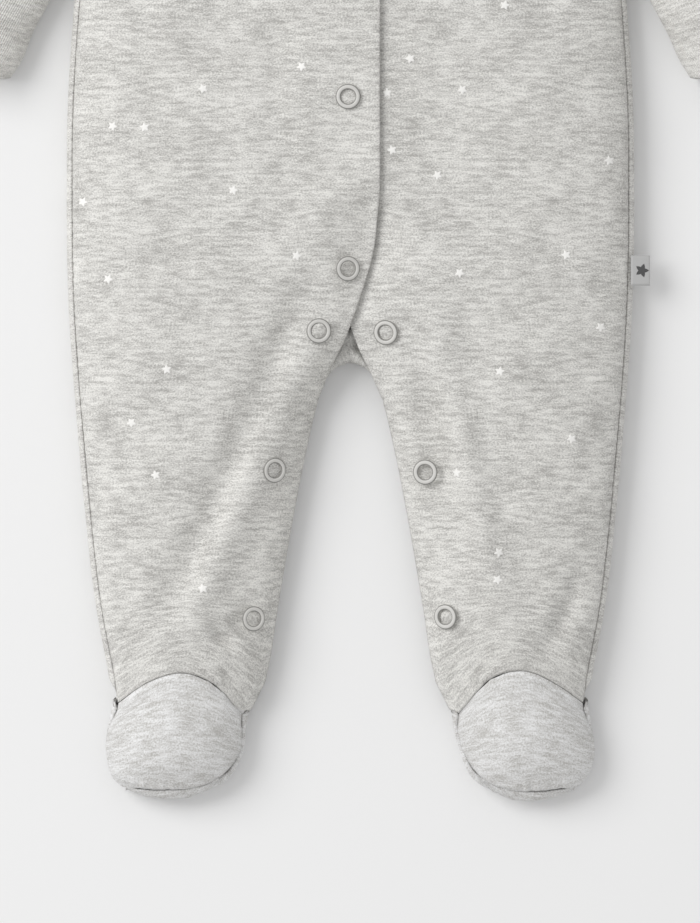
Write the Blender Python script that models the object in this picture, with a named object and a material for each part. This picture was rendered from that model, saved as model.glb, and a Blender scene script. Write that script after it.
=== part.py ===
"""A footed baby sleepsuit, laid on its back on a flat surface, with air left in it.

Lengths are in millimetres until a mesh is made. X runs across the suit, towards the wearer's left,
Y runs from the toes towards the neck, and Z is up. The origin is under the middle of the suit's box.
Heights up the suit are given as a rise above the toes, because that is how such a suit is measured.

Every piece of cloth lies on one of two sheets that meet along the suit's outline: "top", which domes,
and "under", which lies flat and curls up at its rim. A piece is a grid of points in plan, which
the sheets lift into place, and its wall goes inwards from there.
"""

import math

import bmesh
import bpy
import numpy as np
from mathutils import Vector
from mathutils.bvhtree import BVHTree

MM = 0.001
LENGTH = 506.0  # toes to the top of the neckband

WALL = 1.2  # heather jersey
BAND_WALL = 2.2  # cuffs and neckband are folded double
SEAM_GAP = 0.5  # between pieces that are sewn to each other
TIGHT_GAP = 1.1  # the same where a seam lies across a steep slope: round the ankles, heels and armholes

EDGE_HEIGHT = 7.0  # of the outline above the surface
TOP_RISE = 18.0  # of the top sheet above the outline
TOP_REACH = 50.0  # how far in from the outline the top sheet goes on rising
CURL_REACH = 10.0  # how far in from the outline the under sheet touches the surface

SIDE_SEAM_INSET = 1.75  # the back rolls over the outline to here, where the front begins
PLACKET_EDGE = 12.4  # the overlapping fronts end this far past the middle
STRIP_INSET = 4.3  # the back ends this far inside the inner leg, where the placket strip begins
STRIP_DEPTH = 3.0  # of the strip under the fronts' outer face
CUFF_LENGTH = 42.0
BAND_WIDTH = 13.0
NECK_GAP = TIGHT_GAP / 2 / BAND_WIDTH

SNAP_RADIUS = 5.25
SNAP_HOLE_RADIUS = 3.25
SNAP_HEIGHT = 0.9
SNAP_GAP = 0.45

# The outline, as the half that lies at +X. Both halves are alike but for the feet.
SHOULDER_AND_SLEEVE = [  # (half width, rise): neckband, shoulder, then the sleeve's upper edge
    (40.0, 506.0),
    (52.0, 500.0),
    (78.0, 492.5),
    (102.0, 482.0),
    (124.0, 458.0),
    (152.0, 411.0),
    (178.0, 363.5),
    (197.6, 331.4),
]
UNDERARM = [  # (half width, rise): cuff corner, then the sleeve's lower edge up to the armpit
    (142.2, 303.7),
    (137.5, 311.5),
    (133.4, 321.3),
    (125.5, 336.4),
    (117.8, 355.0),
    (112.5, 375.0),
]
SIDE = [  # (half width, rise): the side from the armpit down to the ankle
    (112.5, 375.0),
    (115.6, 338.0),
    (118.4, 296.0),
    (119.0, 262.0),
    (118.3, 210.0),
    (115.1, 163.0),
    (111.3, 121.0),
    (107.1, 84.0),
    (101.6, 54.0),
    (99.5, 41.0),
]
INNER_LEG = [  # (half width, rise): up the inner leg from the ankle, then over the crotch
    (42.2, 37.8),
    (38.4, 42.4),
    (34.8, 54.0),
    (29.8, 85.0),
    (23.6, 121.0),
    (17.4, 152.0),
    (13.2, 168.0),
    (8.2, 175.4),
    (4.4, 179.8),
    (0.0, 181.2),
]
FEET = {  # (half width, rise), round each foot from the outer ankle to the inner one
    "right": [
        (99.5, 41.0),
        (101.7, 32.0),
        (102.5, 21.0),
        (99.4, 9.4),
        (90.5, 3.6),
        (75.0, 0.8),
        (61.5, 3.0),
        (50.5, 10.2),
        (45.2, 20.0),
        (43.6, 31.0),
        (42.2, 37.8),
    ],
    "left": [
        (99.5, 41.0),
        (100.9, 33.0),
        (102.4, 19.5),
        (97.6, 8.2),
        (87.2, 2.5),
        (72.5, 0.0),
        (59.5, 3.2),
        (50.2, 11.0),
        (45.2, 23.0),
        (43.0, 31.0),
        (42.2, 37.8),
    ],
}
VAMP_SEAM = {  # (half width, rise) from the outer side of each foot to the inner one
    "right": [(98.0, 41.5), (85.5, 50.0), (70.8, 54.2), (57.0, 49.6), (45.0, 36.8)],
    "left": [(98.0, 41.5), (86.0, 49.8), (72.5, 55.0), (58.6, 51.8), (44.8, 36.8)],
}
HEEL_SEAM = [(98.0, 41.5), (84.0, 55.0), (70.0, 58.5), (56.0, 53.0), (46.0, 40.2)]
FOOT_SEAM = [  # (how far round the foot, how far the seam of vamp and sole lies inside the outline)
    (0.0, 1.8),
    (0.10, 0.2),
    (0.30, -0.6),
    (0.40, 2.0),
    (0.50, 3.4),
    (0.62, 3.0),
    (0.74, 1.8),
    (0.86, 0.6),
    (0.93, 0.9),
    (1.0, 2.4),
]

ARMHOLE = [(112.5, 375.0), (101.0, 400.0), (97.5, 432.0), (102.0, 482.0)]
NECK_SIDE = (52.0, 500.0)  # (half width, rise) where the neck seam meets the shoulder
SHOULDER_TIP = (102.0, 482.0)
FRONT_NECK_DROP = 48.0
BACK_NECK_DROP = 14.0

# The free edge of each front, from the inner leg up to the placket's straight stretch.
UPPER_FLAP = [
    (13.2, 168.0),
    (8.6, 181.0),
    (4.2, 191.0),
    (-0.8, 202.5),
    (-6.1, 217.0),
    (-10.3, 232.0),
    (-12.4, 256.0),
]
LOWER_FLAP = [
    (13.2, 168.0),
    (8.4, 178.5),
    (2.9, 191.0),
    (-1.4, 202.0),
    (-7.0, 215.0),
    (-12.4, 232.0),
    (-12.4, 256.0),
]

# Large folds: height (a trough's is negative), half width, and the points of its line.
FOLDS = [
    (-2.6, 10.0, [(-18, 212), (-37, 164), (-58, 119), (-75, 84)]),
    (1.6, 9.0, [(-8, 190), (-28, 170), (-50, 118), (-68, 76)]),
    (-1.8, 9.0, [(24, 200), (33, 170), (38, 140)]),
    (1.6, 10.0, [(32, 200), (43, 164), (54, 114), (66, 72)]),
    (-5.5, 13.0, [(8, 238), (4, 214), (0, 198), (0, 183)]),
    (3.0, 20.0, [(-74, 26), (-72, 30)]),
    (3.0, 20.0, [(72, 26), (72, 30)]),
]
FOLD_FADE = 12.0  # folds die away over this distance from the outline

# Where the upper front lies on the other: its lift grows towards its free edge and stops below the crotch.
LIFT_AT_OVERLAP = 2.2
LIFT_AT_EDGE = 3.0
BAND_LIFT = 1.25  # the neckband is lifted by this many times as much, for it is thicker
LIFT_START = -52.0
LIFT_LOW_RISE = 166.0
LIFT_FULL_RISE = 204.0

SNAPS = [  # (x, rise, which front it is on)
    (-1.2, 437.6, "right"),
    (-1.2, 366.2, "right"),
    (-1.0, 294.8, "right"),
    (-2.3, 223.4, "right"),
    (-13.7, 197.4, "right"),
    (-32.1, 139.0, "right"),
    (-40.9, 76.9, "right"),
    (14.9, 196.6, "left"),
    (31.7, 138.2, "left"),
    (40.1, 77.7, "left"),
]

LABEL_RISE = (216.3, 228.9)
# How far the label's ends lie outside the side's outline, and how high their lower faces are.
LABEL_ENDS = [(-1.1, 12.3), (6.6, 10.7)]
LABEL_WALL = 1.0

# Where the grids have their lines. Pieces that are sewn together have the same points along their seam.
ANKLE_RISE = 38.6
LEG_ROWS = [50.0, 62.0, 78.0, 96.0, 114.0, 132.0, 147.0, 158.0, 166.0, 173.0, 179.0, 183.0]
CROTCH_ROW = 185.5
SEAT_ROWS = [192.0, 202.0, 214.0, 228.0, 246.0, 268.0, 298.0, 332.0, 358.0]
FRONT_COLUMNS = [0.0, 0.02, 0.06, 0.13, 0.24, 0.37, 0.51, 0.65, 0.78, 0.88, 0.95, 1.0]
BACK_COLUMNS = [0.0, 0.011, 0.026, 0.055, 0.10, 0.20, 0.40, 0.62, 0.82, 0.93, 1.0]
ARMHOLE_STEPS = [0.0, 0.05, 0.17, 0.38, 0.62, 0.83, 0.95, 1.0]  # from the armpit up to the shoulder
FRONT_MIDDLE = [375.0, 402.0, 430.0]  # rises along the placket, below the neck
BACK_MIDDLE = [375.0, 410.0, 446.0]
NECK_SHARES = [0.0, 0.34, 0.66, 0.90, 1.0]  # round half of the neck, from the middle to the shoulder
FOOT_ROWS = [0.0, 0.055, 0.16, 0.36, 0.58, 0.78, 0.92, 1.0]
FOOT_LINE_STEPS = 60
TOE_START, TOE_END = 20, 42  # the steps round the foot that are the toe seam
TOE_COLUMNS = 11
SLEEVE_ROWS = 7
CUFF_ROWS = 4
CUFF_BOW = 7.0  # the mouth of the cuff bulges by this much
CUFF_BLUNTNESS = 0.7  # less than 1 makes the bulge blunter
BEND_LOW_RISE = 100.0  # rows of the fronts and back bend towards the ankle below this
BEND_HIGH_RISE = 450.0  # and towards the shoulder above this
SHOULDER_STEPS = 22  # the points of the sleeve's upper edge that are the torso's outline
STRIP_COLUMNS = [-3.9, -2.0, -0.6, 1.0, 4.0, 9.0, 16.0]
BAND_COLUMNS = [0.0, 0.5, 1.0]
SNAP_SIDES = 14
NORMAL_STEP = 0.6


def smooth_curve(points, count=60):
    """Evenly spaced points on a smooth curve through the given ones."""
    knots = np.array(points, float)
    steps = np.sqrt(np.linalg.norm(np.diff(knots, axis=0), axis=1))
    times = np.concatenate(([0.0], np.cumsum(steps)))
    slopes = np.gradient(knots, times, axis=0)
    u = np.linspace(0.0, 1.0, 40)[:, None]
    runs = []
    for i, step in enumerate(np.diff(times)):
        start = (1 + 2 * u) * (1 - u) ** 2 * knots[i] + u * (1 - u) ** 2 * step * slopes[i]
        end = u**2 * (3 - 2 * u) * knots[i + 1] + u**2 * (u - 1) * step * slopes[i + 1]
        runs.append(start + end)
    return along(np.concatenate(runs), np.linspace(0.0, 1.0, count))


def along(line, fractions):
    """Points at these fractions of a line's length."""
    steps = np.linalg.norm(np.diff(line, axis=0), axis=1)
    length = np.concatenate(([0.0], np.cumsum(steps)))
    at = np.asarray(fractions) * length[-1]
    return np.stack([np.interp(at, length, line[:, k]) for k in range(2)], axis=1)


def at_rise(line, rises):
    """Points where a line that climbs steadily reaches these rises."""
    order = np.argsort(line[:, 1], kind="stable")
    rises = np.asarray(rises, float)
    return np.stack([np.interp(rises, line[order, 1], line[order, 0]), rises], axis=1)


def shifted(line, distance):
    """A line moved sideways, to the left of its own direction."""
    ahead = np.gradient(line, axis=0)
    ahead /= np.linalg.norm(ahead, axis=1)[:, None]
    return line + distance * np.stack([-ahead[:, 1], ahead[:, 0]], axis=1)


def mirrored(points, side):
    """Points of the +X half moved to the named side of the wearer, whose left is at +X."""
    sign = 1.0 if side == "left" else -1.0
    return np.array(points, float) * (sign, 1.0)


def smooth_step(value, low, high):
    u = np.clip((value - low) / (high - low), 0.0, 1.0)
    return u * u * (3 - 2 * u)


SIDES = ("right", "left")
SLEEVE_TOP = {s: smooth_curve(mirrored(SHOULDER_AND_SLEEVE, s), 60) for s in SIDES}
SLEEVE_UNDER = {s: smooth_curve(mirrored(UNDERARM, s), 24) for s in SIDES}
SIDE_LINE = {s: smooth_curve(mirrored(SIDE, s), 80) for s in SIDES}
FOOT_LINE = {s: smooth_curve(mirrored(FEET[s], s), 72) for s in SIDES}
LEG_LINE = {s: smooth_curve(mirrored(INNER_LEG, s), 60) for s in SIDES}


def closed_edges():
    """Start and end points of every stretch of outline where the top and under sheets meet."""
    lines = [t[s] for t in (SLEEVE_TOP, SLEEVE_UNDER, SIDE_LINE, FOOT_LINE, LEG_LINE) for s in SIDES]
    starts = np.concatenate([line[:-1] for line in lines])
    ends = np.concatenate([line[1:] for line in lines])
    return starts, ends


EDGE_STARTS, EDGE_ENDS = closed_edges()


def rim_distance(points):
    """A smooth stand-in for the distance to the outline: the sum of 1/distance^4 along it, to the -1/3."""
    ahead = EDGE_ENDS - EDGE_STARTS
    lengths = np.linalg.norm(ahead, axis=1)
    ahead = ahead / lengths[:, None]
    offset = points[:, None, :] - EDGE_STARTS[None]
    start = -(offset * ahead).sum(2)
    end = start + lengths
    across = np.abs(offset[..., 0] * ahead[:, 1] - offset[..., 1] * ahead[:, 0])
    across = np.maximum(across, 1e-3)

    def share(t):
        return t / (2 * across**2 * (t**2 + across**2)) + np.arctan(t / across) / (2 * across**3)

    total = (share(end) - share(start)).sum(1)
    return (2 / math.pi * total) ** (-1 / 3)


def line_distance(points, line):
    """Distance from each point to a line of a few points."""
    line = np.array(line, float)
    best = np.full(len(points), np.inf)
    for start, end in zip(line[:-1], line[1:]):
        ahead = end - start
        t = np.clip(((points - start) @ ahead) / (ahead @ ahead), 0, 1)
        best = np.minimum(best, np.linalg.norm(points - start - t[:, None] * ahead, axis=1))
    return best


def top_height(points):
    rim = rim_distance(points)
    inner = 1 - np.minimum(rim / TOP_REACH, 1)
    height = EDGE_HEIGHT + TOP_RISE * np.sqrt(1 - inner**2)
    for rise, reach, line in FOLDS:
        fold = rise * np.exp(-((line_distance(points, line) / reach) ** 2))
        height += fold * np.minimum(rim / FOLD_FADE, 1)
    return height


def under_height(points):
    inner = 1 - np.minimum(rim_distance(points) / CURL_REACH, 1)
    return EDGE_HEIGHT * (1 - np.sqrt(1 - inner**2))


def body_outline():
    """The outline of torso, legs and feet as one line, with the cloth on its left."""
    halves = {}
    for side in SIDES:
        shoulder = SLEEVE_TOP[side][:SHOULDER_STEPS]
        halves[side] = np.concatenate([shoulder, SIDE_LINE[side], FOOT_LINE[side], LEG_LINE[side]])
    return [halves["right"], halves["left"][::-1]]


OUTLINE = body_outline()


def fold_over(points):
    """Points that stray outside the outline, mirrored back inside it, and which ones those were."""
    best = np.full(len(points), np.inf)
    foot = np.zeros_like(points)
    outside = np.zeros(len(points), bool)
    for line in OUTLINE:
        for start, end in zip(line[:-1], line[1:]):
            ahead = end - start
            square = ahead @ ahead
            if square < 1e-12:
                continue
            t = np.clip(((points - start) @ ahead) / square, 0, 1)
            near = start + t[:, None] * ahead
            gap = np.linalg.norm(points - near, axis=1)
            closer = gap < best
            side = ahead[0] * (points[:, 1] - start[1]) - ahead[1] * (points[:, 0] - start[0])
            best[closer] = gap[closer]
            foot[closer] = near[closer]
            outside[closer] = (side < 0)[closer]
    return np.where(outside[:, None], 2 * foot - points, points), outside


def on_sheet(points, top):
    """3-D points above plan points, on the top sheet where top is true and on the under sheet elsewhere."""
    heights = np.where(top, top_height(points), under_height(points))
    return np.column_stack([points[:, 0], points[:, 1] - LENGTH / 2, heights])


def draped(plan, sheet):
    """A grid of plan points laid on its sheet. What goes past the outline rolls round onto the other one."""
    rows, columns = plan.shape[:2]
    points, rolled = fold_over(plan.reshape(-1, 2))
    top = ~rolled if sheet == "top" else rolled
    return on_sheet(points, top).reshape(rows, columns, 3)


def facing(plan, sheet):
    """The direction that faces out of a sheet at each plan point. Neighbours along a seam agree on it."""
    steps = ((NORMAL_STEP, 0), (0, NORMAL_STEP))
    east, north = [draped(plan + step, sheet) - draped(plan - step, sheet) for step in steps]
    normals = np.cross(east, north)
    normals /= np.linalg.norm(normals, axis=2)[..., None]
    return normals if sheet == "top" else -normals


def quads(rows, columns, ring=False, flip=False, first=0):
    """Faces of a grid of points, facing out when rows go up and columns go right."""
    faces = []
    for i in range(rows - 1):
        for j in range(columns if ring else columns - 1):
            k = (j + 1) % columns
            face = [i * columns + j, i * columns + k, (i + 1) * columns + k, (i + 1) * columns + j]
            faces.append([first + v for v in (reversed(face) if flip else face)])
    return faces


def material(name, colour, roughness, metallic=0.0):
    made = bpy.data.materials.new(name)
    made.use_nodes = True
    shader = made.node_tree.nodes["Principled BSDF"]
    shader.inputs["Base Color"].default_value = (*colour, 1.0)
    shader.inputs["Roughness"].default_value = roughness
    shader.inputs["Metallic"].default_value = metallic
    return made


def add_object(name, shape, finish):
    """Turns a bmesh in millimetres into an object in metres."""
    bmesh.ops.scale(shape, vec=(MM, MM, MM), verts=shape.verts)
    mesh = bpy.data.meshes.new(name)
    shape.to_mesh(mesh)
    shape.free()
    mesh.materials.append(finish)
    mesh.shade_smooth()
    made = bpy.data.objects.new(name, mesh)
    bpy.context.scene.collection.objects.link(made)
    return made


def add_cloth(name, grids, finish, wall=WALL, ring=False):
    """A wall of cloth whose outer face is made of grids: points, normals, and whether it is flipped."""
    shape = bmesh.new()
    normals = {}
    for points, facings, flip in grids:
        rows, columns = points.shape[:2]
        made = [shape.verts.new(point) for point in points.reshape(-1, 3)]
        for face in quads(rows, columns, ring, flip):
            shape.faces.new([made[v] for v in face])
        normals.update(zip(made, facings.reshape(-1, 3)))
    bmesh.ops.remove_doubles(shape, verts=shape.verts, dist=0.01)
    thicken(shape, wall, {v: Vector(normals[v]) for v in shape.verts})
    return add_object(name, shape, finish)


def thicken(shape, wall, normals):
    """Gives a surface its inner face and rims."""
    inner = {v: shape.verts.new(v.co - normals[v] * wall) for v in list(shape.verts)}
    rims = [loop for edge in shape.edges if edge.is_boundary for loop in edge.link_loops]
    rims = [(loop.vert, loop.link_loop_next.vert) for loop in rims]
    for face in list(shape.faces):
        shape.faces.new([inner[v] for v in reversed(face.verts)])
    for a, b in rims:
        shape.faces.new([b, a, inner[a], inner[b]])


def plan_rows(first, last, columns, low, high):
    """A plan grid of rows between two edges, straight but for those that bend to meet its shaped ends."""
    columns = np.array(columns)[None, :, None]
    plan = first[:, None] + (last - first)[:, None] * columns
    near_low = 1 - smooth_step(first[:, 1], first[0, 1], BEND_LOW_RISE)
    near_high = smooth_step(first[:, 1], BEND_HIGH_RISE, first[-1, 1])
    bend = (low - plan[0])[None] * near_low[:, None, None]
    bend = bend + (high - plan[-1])[None] * near_high[:, None, None]
    return plan + bend


def plan_between(low, high, first, last, rows, columns):
    """A plan grid between the points of four edges: the lowest and highest row, the first and last column."""
    u = np.array(columns)[None, :, None]
    v = np.array(rows)[:, None, None]
    low, high, first, last = low[None], high[None], first[:, None], last[:, None]
    low_corners = (1 - u) * low[:, :1] + u * low[:, -1:]
    high_corners = (1 - u) * high[:, :1] + u * high[:, -1:]
    corners = (1 - v) * low_corners + v * high_corners
    return (1 - v) * low + v * high + (1 - u) * first + u * last - corners


def neck_points(side, front, width_step):
    """A line round one half of the neck, from the middle to the shoulder, this share of the neckband's width
    inside the neck seam. The front's starts past the middle, at the placket's edge."""
    half, drop, top = NECK_SIDE[0], FRONT_NECK_DROP if front else BACK_NECK_DROP, NECK_SIDE[1]
    start = -math.asin(PLACKET_EDGE / half) if front else 0.0
    angles = start + (math.pi / 2 - start) * np.array(NECK_SHARES)
    across = half - width_step * (half - SHOULDER_AND_SLEEVE[0][0])
    climb = (LENGTH - top) * width_step
    depth = drop - width_step * (BAND_WIDTH - (LENGTH - top))
    points = np.stack([across * np.sin(angles), top + climb - depth * np.cos(angles)], axis=1)
    return mirrored(points, side)


def lift_of_upper_front(points):
    """How far the upper front lies above the top sheet, at points in space."""
    x, rise = points[:, 0], points[:, 1] + LENGTH / 2
    near = LIFT_AT_OVERLAP * smooth_step(x, LIFT_START, -PLACKET_EDGE - 3)
    edge = (LIFT_AT_EDGE - LIFT_AT_OVERLAP) * smooth_step(x, -PLACKET_EDGE, PLACKET_EDGE)
    return (near + edge) * smooth_step(rise, LIFT_LOW_RISE, LIFT_FULL_RISE)


def shoulder_line(side, inset):
    """From the neck to the tip of the shoulder, this far inside the outline."""
    line = SLEEVE_TOP[side]
    stretch = line[(line[:, 1] < NECK_SIDE[1]) & (line[:, 1] > SHOULDER_TIP[1])]
    ends = mirrored([NECK_SIDE, SHOULDER_TIP], side)
    line = np.concatenate([ends[:1], stretch, ends[1:]])
    line = shifted(line, -inset if side == "left" else inset)
    return along(line, np.linspace(TIGHT_GAP / line_length(line), 1, len(line)))


def armhole_points(side, gap, shoulder_inset):
    """The armhole seam from the armpit up to the shoulder, moved towards the body by gap."""
    hand = 1.0 if side == "left" else -1.0
    line = shifted(smooth_curve(mirrored(ARMHOLE, side), 60), hand * gap)
    line[-1] = shoulder_line(side, shoulder_inset)[-1]
    return along(line, ARMHOLE_STEPS)


def seam_points(side, line, columns, up):
    """Points along an ankle or heel seam, from the outer side in, moved this far up the leg."""
    hand = 1.0 if side == "left" else -1.0
    return along(shifted(smooth_curve(mirrored(line, side), 60), -hand * up), columns)


def ankle_columns():
    """Where the front's columns meet the vamp seam. Its last column is past it, at the placket strip."""
    return np.array(FRONT_COLUMNS[:-1]) / FRONT_COLUMNS[-2]


def front_plan(side):
    """The plan of one front: rows from the ankle to the shoulder, columns from the side seam inwards."""
    hand = 1.0 if side == "left" else -1.0
    inset = SIDE_SEAM_INSET + SEAM_GAP / 2
    flap = mirrored(UPPER_FLAP if side == "right" else LOWER_FLAP, side)
    side_line = shifted(SIDE_LINE[side], -hand * inset)
    leg = LEG_LINE[side]
    inner = np.concatenate([leg[leg[:, 1] < flap[0, 1]], smooth_curve(flap, 60)])
    seam = seam_points(side, VAMP_SEAM[side], ankle_columns(), TIGHT_GAP / 2)
    ankle = at_rise(inner, [ANKLE_RISE])
    placket = mirrored([(-PLACKET_EDGE, rise) for rise in FRONT_MIDDLE], side)
    neck = neck_points(side, True, -NECK_GAP)
    shoulder = shoulder_line(side, inset)
    neck[-1] = shoulder[0]
    rises = LEG_ROWS + [CROTCH_ROW] + SEAT_ROWS
    armhole = armhole_points(side, TIGHT_GAP / 2, inset)
    outer_edge = np.concatenate([seam[:1], at_rise(side_line, rises), armhole])
    inner_edge = np.concatenate([ankle, at_rise(inner, rises), placket, neck])
    high = along(shoulder[::-1], FRONT_COLUMNS)
    return plan_rows(outer_edge, inner_edge, FRONT_COLUMNS, np.concatenate([seam, ankle]), high)


def back_plan(side):
    """The plan of one half of the back: columns from the side seam in to the inner leg, then the middle."""
    hand = 1.0 if side == "left" else -1.0
    roll = SIDE_SEAM_INSET - SEAM_GAP / 2
    side_line = shifted(SIDE_LINE[side], hand * roll)
    line, inward = leg_stations(side)
    inner_leg = line + inward * STRIP_INSET
    seam = seam_points(side, HEEL_SEAM, BACK_COLUMNS, TIGHT_GAP / 2)
    middle = np.array([(0.0, rise) for rise in SEAT_ROWS + BACK_MIDDLE])
    neck = neck_points(side, False, -NECK_GAP)
    shoulder = shoulder_line(side, -roll)
    neck[-1] = shoulder[0]
    rises = LEG_ROWS + [CROTCH_ROW] + SEAT_ROWS
    armhole = armhole_points(side, TIGHT_GAP / 2, -roll)
    outer_edge = np.concatenate([seam[:1], at_rise(side_line, rises), armhole])
    inner_edge = np.concatenate([seam[-1:], inner_leg[1:], middle, neck])
    return plan_rows(outer_edge, inner_edge, BACK_COLUMNS, seam, along(shoulder[::-1], BACK_COLUMNS))


def foot_plan(side, vamp):
    """The plan of a vamp or a sole, from the toes up to the ankle or heel."""
    hand = 1.0 if side == "left" else -1.0
    steps = np.linspace(0, 1, FOOT_LINE_STEPS)
    inset = np.interp(steps, *np.array(FOOT_SEAM).T)
    inset = inset + SEAM_GAP / 2 if vamp else SEAM_GAP / 2 - inset
    edge = along(FOOT_LINE[side], steps)
    ahead = np.gradient(edge, axis=0)
    ahead /= np.linalg.norm(ahead, axis=1)[:, None]
    edge = edge + inset[:, None] * np.stack([-ahead[:, 1], ahead[:, 0]], axis=1) * -hand
    columns = ankle_columns() if vamp else np.array(BACK_COLUMNS)
    seam = seam_points(side, VAMP_SEAM[side] if vamp else HEEL_SEAM, columns, -TIGHT_GAP / 2)
    edge[0], edge[-1] = seam[0], seam[-1]
    first, toe, last = edge[TOE_START::-1], edge[TOE_START : TOE_END + 1], edge[TOE_END:]
    toe = along(toe, np.linspace(0, 1, TOE_COLUMNS))
    return plan_between(toe, seam, along(first, FOOT_ROWS), along(last, FOOT_ROWS), FOOT_ROWS, columns)


def tube(plan, side, joins_body):
    """A ring grid round a flat tube, with its normals: across the top sheet and back across the under one."""
    flat = plan.reshape(-1, 2)
    top = on_sheet(flat, True).reshape(*plan.shape[:2], 3)
    under = on_sheet(flat, False).reshape(*plan.shape[:2], 3)
    points = np.concatenate([top, under[:, -2:0:-1]], axis=1)
    around = np.roll(points, -1, axis=1) - np.roll(points, 1, axis=1)
    normals = np.cross(around, np.gradient(points, axis=0)) * (-1.0 if side == "left" else 1.0)
    normals /= np.linalg.norm(normals, axis=2)[..., None]
    if joins_body:
        row = plan[:1]
        normals[:1] = np.concatenate([facing(row, "top"), facing(row, "under")[:, -2:0:-1]], axis=1)
    return points, normals, side == "left"


def sleeve_plans(side):
    """The plans of sleeve and cuff: rows from the armhole down, columns from the lower edge to the upper."""
    upper, lower = SLEEVE_TOP[side], SLEEVE_UNDER[side][::-1]
    tip = mirrored([SHOULDER_TIP], side)
    upper = np.concatenate([tip, upper[upper[:, 1] < SHOULDER_TIP[1]]])
    outward = mirrored([(1.0, 0.0)], side)[0]
    armhole = along(smooth_curve(mirrored(ARMHOLE, side), 60), ARMHOLE_STEPS) + outward * TIGHT_GAP / 2
    seam = [1 - CUFF_LENGTH / line_length(line) for line in (upper, lower)]
    columns = np.array(ARMHOLE_STEPS)
    down = np.linspace(0, 1, SLEEVE_ROWS)
    first, last = along(lower, down * seam[1]), along(upper, down * seam[0])
    first[0], last[0] = armhole[0], armhole[-1]
    end = first[-1] + (last[-1] - first[-1]) * columns[:, None]
    sleeve = plan_between(armhole, end, first, last, down, columns)
    steps = np.linspace(0, 1, CUFF_ROWS)
    reach = (SEAM_GAP + (CUFF_LENGTH - SEAM_GAP) * steps) / CUFF_LENGTH
    lower_part = along(lower, seam[1] + (1 - seam[1]) * reach)
    upper_part = along(upper, seam[0] + (1 - seam[0]) * reach)
    axis = (upper_part[-1] - upper_part[0]) + (lower_part[-1] - lower_part[0])
    axis /= np.linalg.norm(axis)
    bow = CUFF_BOW * np.sin(math.pi * columns) ** CUFF_BLUNTNESS
    cuff = lower_part[:, None] + (upper_part - lower_part)[:, None] * columns[None, :, None]
    cuff += (steps[:, None] * bow[None])[..., None] * axis
    return sleeve, cuff


def line_length(line):
    return np.linalg.norm(np.diff(line, axis=0), axis=1).sum()


def leg_stations(side):
    """Points up one inner leg and the directions into the cloth there, ending at the middle of the crotch.
    The first is at the ankle. From the others, the back's edge lies STRIP_INSET away, at the rows' rises."""
    hand = 1.0 if side == "left" else -1.0
    line = LEG_LINE[side]
    edge = shifted(line, -hand * STRIP_INSET)
    inward = (edge - line) / STRIP_INSET
    rises = [line[0, 1]] + LEG_ROWS
    at = np.interp(rises, edge[:, 1], np.arange(len(line)))
    at[0] = 0
    at = np.append(at, len(line) - 1)
    steps = np.arange(len(line))
    pick = [
        np.stack([np.interp(at, steps, part[:, k]) for k in range(2)], axis=1) for part in (line, inward)
    ]
    pick[0][-1, 0] = pick[1][-1, 0] = 0.0
    return pick[0], pick[1]


def strip_grid():
    """The placket strip, from ankle to ankle round the crotch, from the under sheet up inside the fronts."""
    (right, right_in), (left, left_in) = leg_stations("right"), leg_stations("left")
    line = np.concatenate([right, left[-2::-1]])
    inward = np.concatenate([right_in, left_in[-2::-1]])
    across = np.array(STRIP_COLUMNS)
    plan = line[:, None] + inward[:, None] * np.abs(across)[None, :, None]
    top = np.broadcast_to(across > 0, plan.shape[:2]).ravel()
    points = on_sheet(plan.reshape(-1, 2), top).reshape(*plan.shape[:2], 3)
    normals = grid_normals(points)
    depth = STRIP_DEPTH * smooth_step(points[..., 2], 0.3, 6.0)
    return points - normals * depth[..., None], normals, True


def grid_normals(points):
    normals = np.cross(np.gradient(points, axis=0), np.gradient(points, axis=1))
    return normals / np.linalg.norm(normals, axis=2)[..., None]


def panel(plan, sheet, side, lift=None):
    """A panel's points and normals on its sheet, moved out by its lift, and whether its faces are flipped."""
    points, normals = draped(plan, sheet), facing(plan, sheet)
    if lift is not None:
        points = points + normals * lift(points.reshape(-1, 3)).reshape(*plan.shape[:2], 1)
    return points, normals, side == ("left" if sheet == "top" else "right")


def band_grid():
    """The neckband, from the placket's edge on the upper front, round the back, to its other end."""
    plans, sheets = [], []
    for side, front in (("right", True), ("right", False), ("left", False), ("left", True)):
        lines = [neck_points(side, front, w) for w in BAND_COLUMNS]
        plan = np.stack(lines, axis=1)
        plan = plan if (side == "right") == front else plan[::-1]
        plans.append(plan if not sheets else plan[1:])
        sheets.append("top" if front else "under")
    pieces, normals = [], []
    for plan, sheet in zip(plans, sheets):
        points, facings = draped(plan, sheet), facing(plan, sheet)
        if not pieces:
            lift = lift_of_upper_front(points.reshape(-1, 3)).reshape(*plan.shape[:2], 1)
            points += facings * BAND_LIFT * lift
        pieces.append(points)
        normals.append(facings)
    return np.concatenate(pieces), np.concatenate(normals), False


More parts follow.
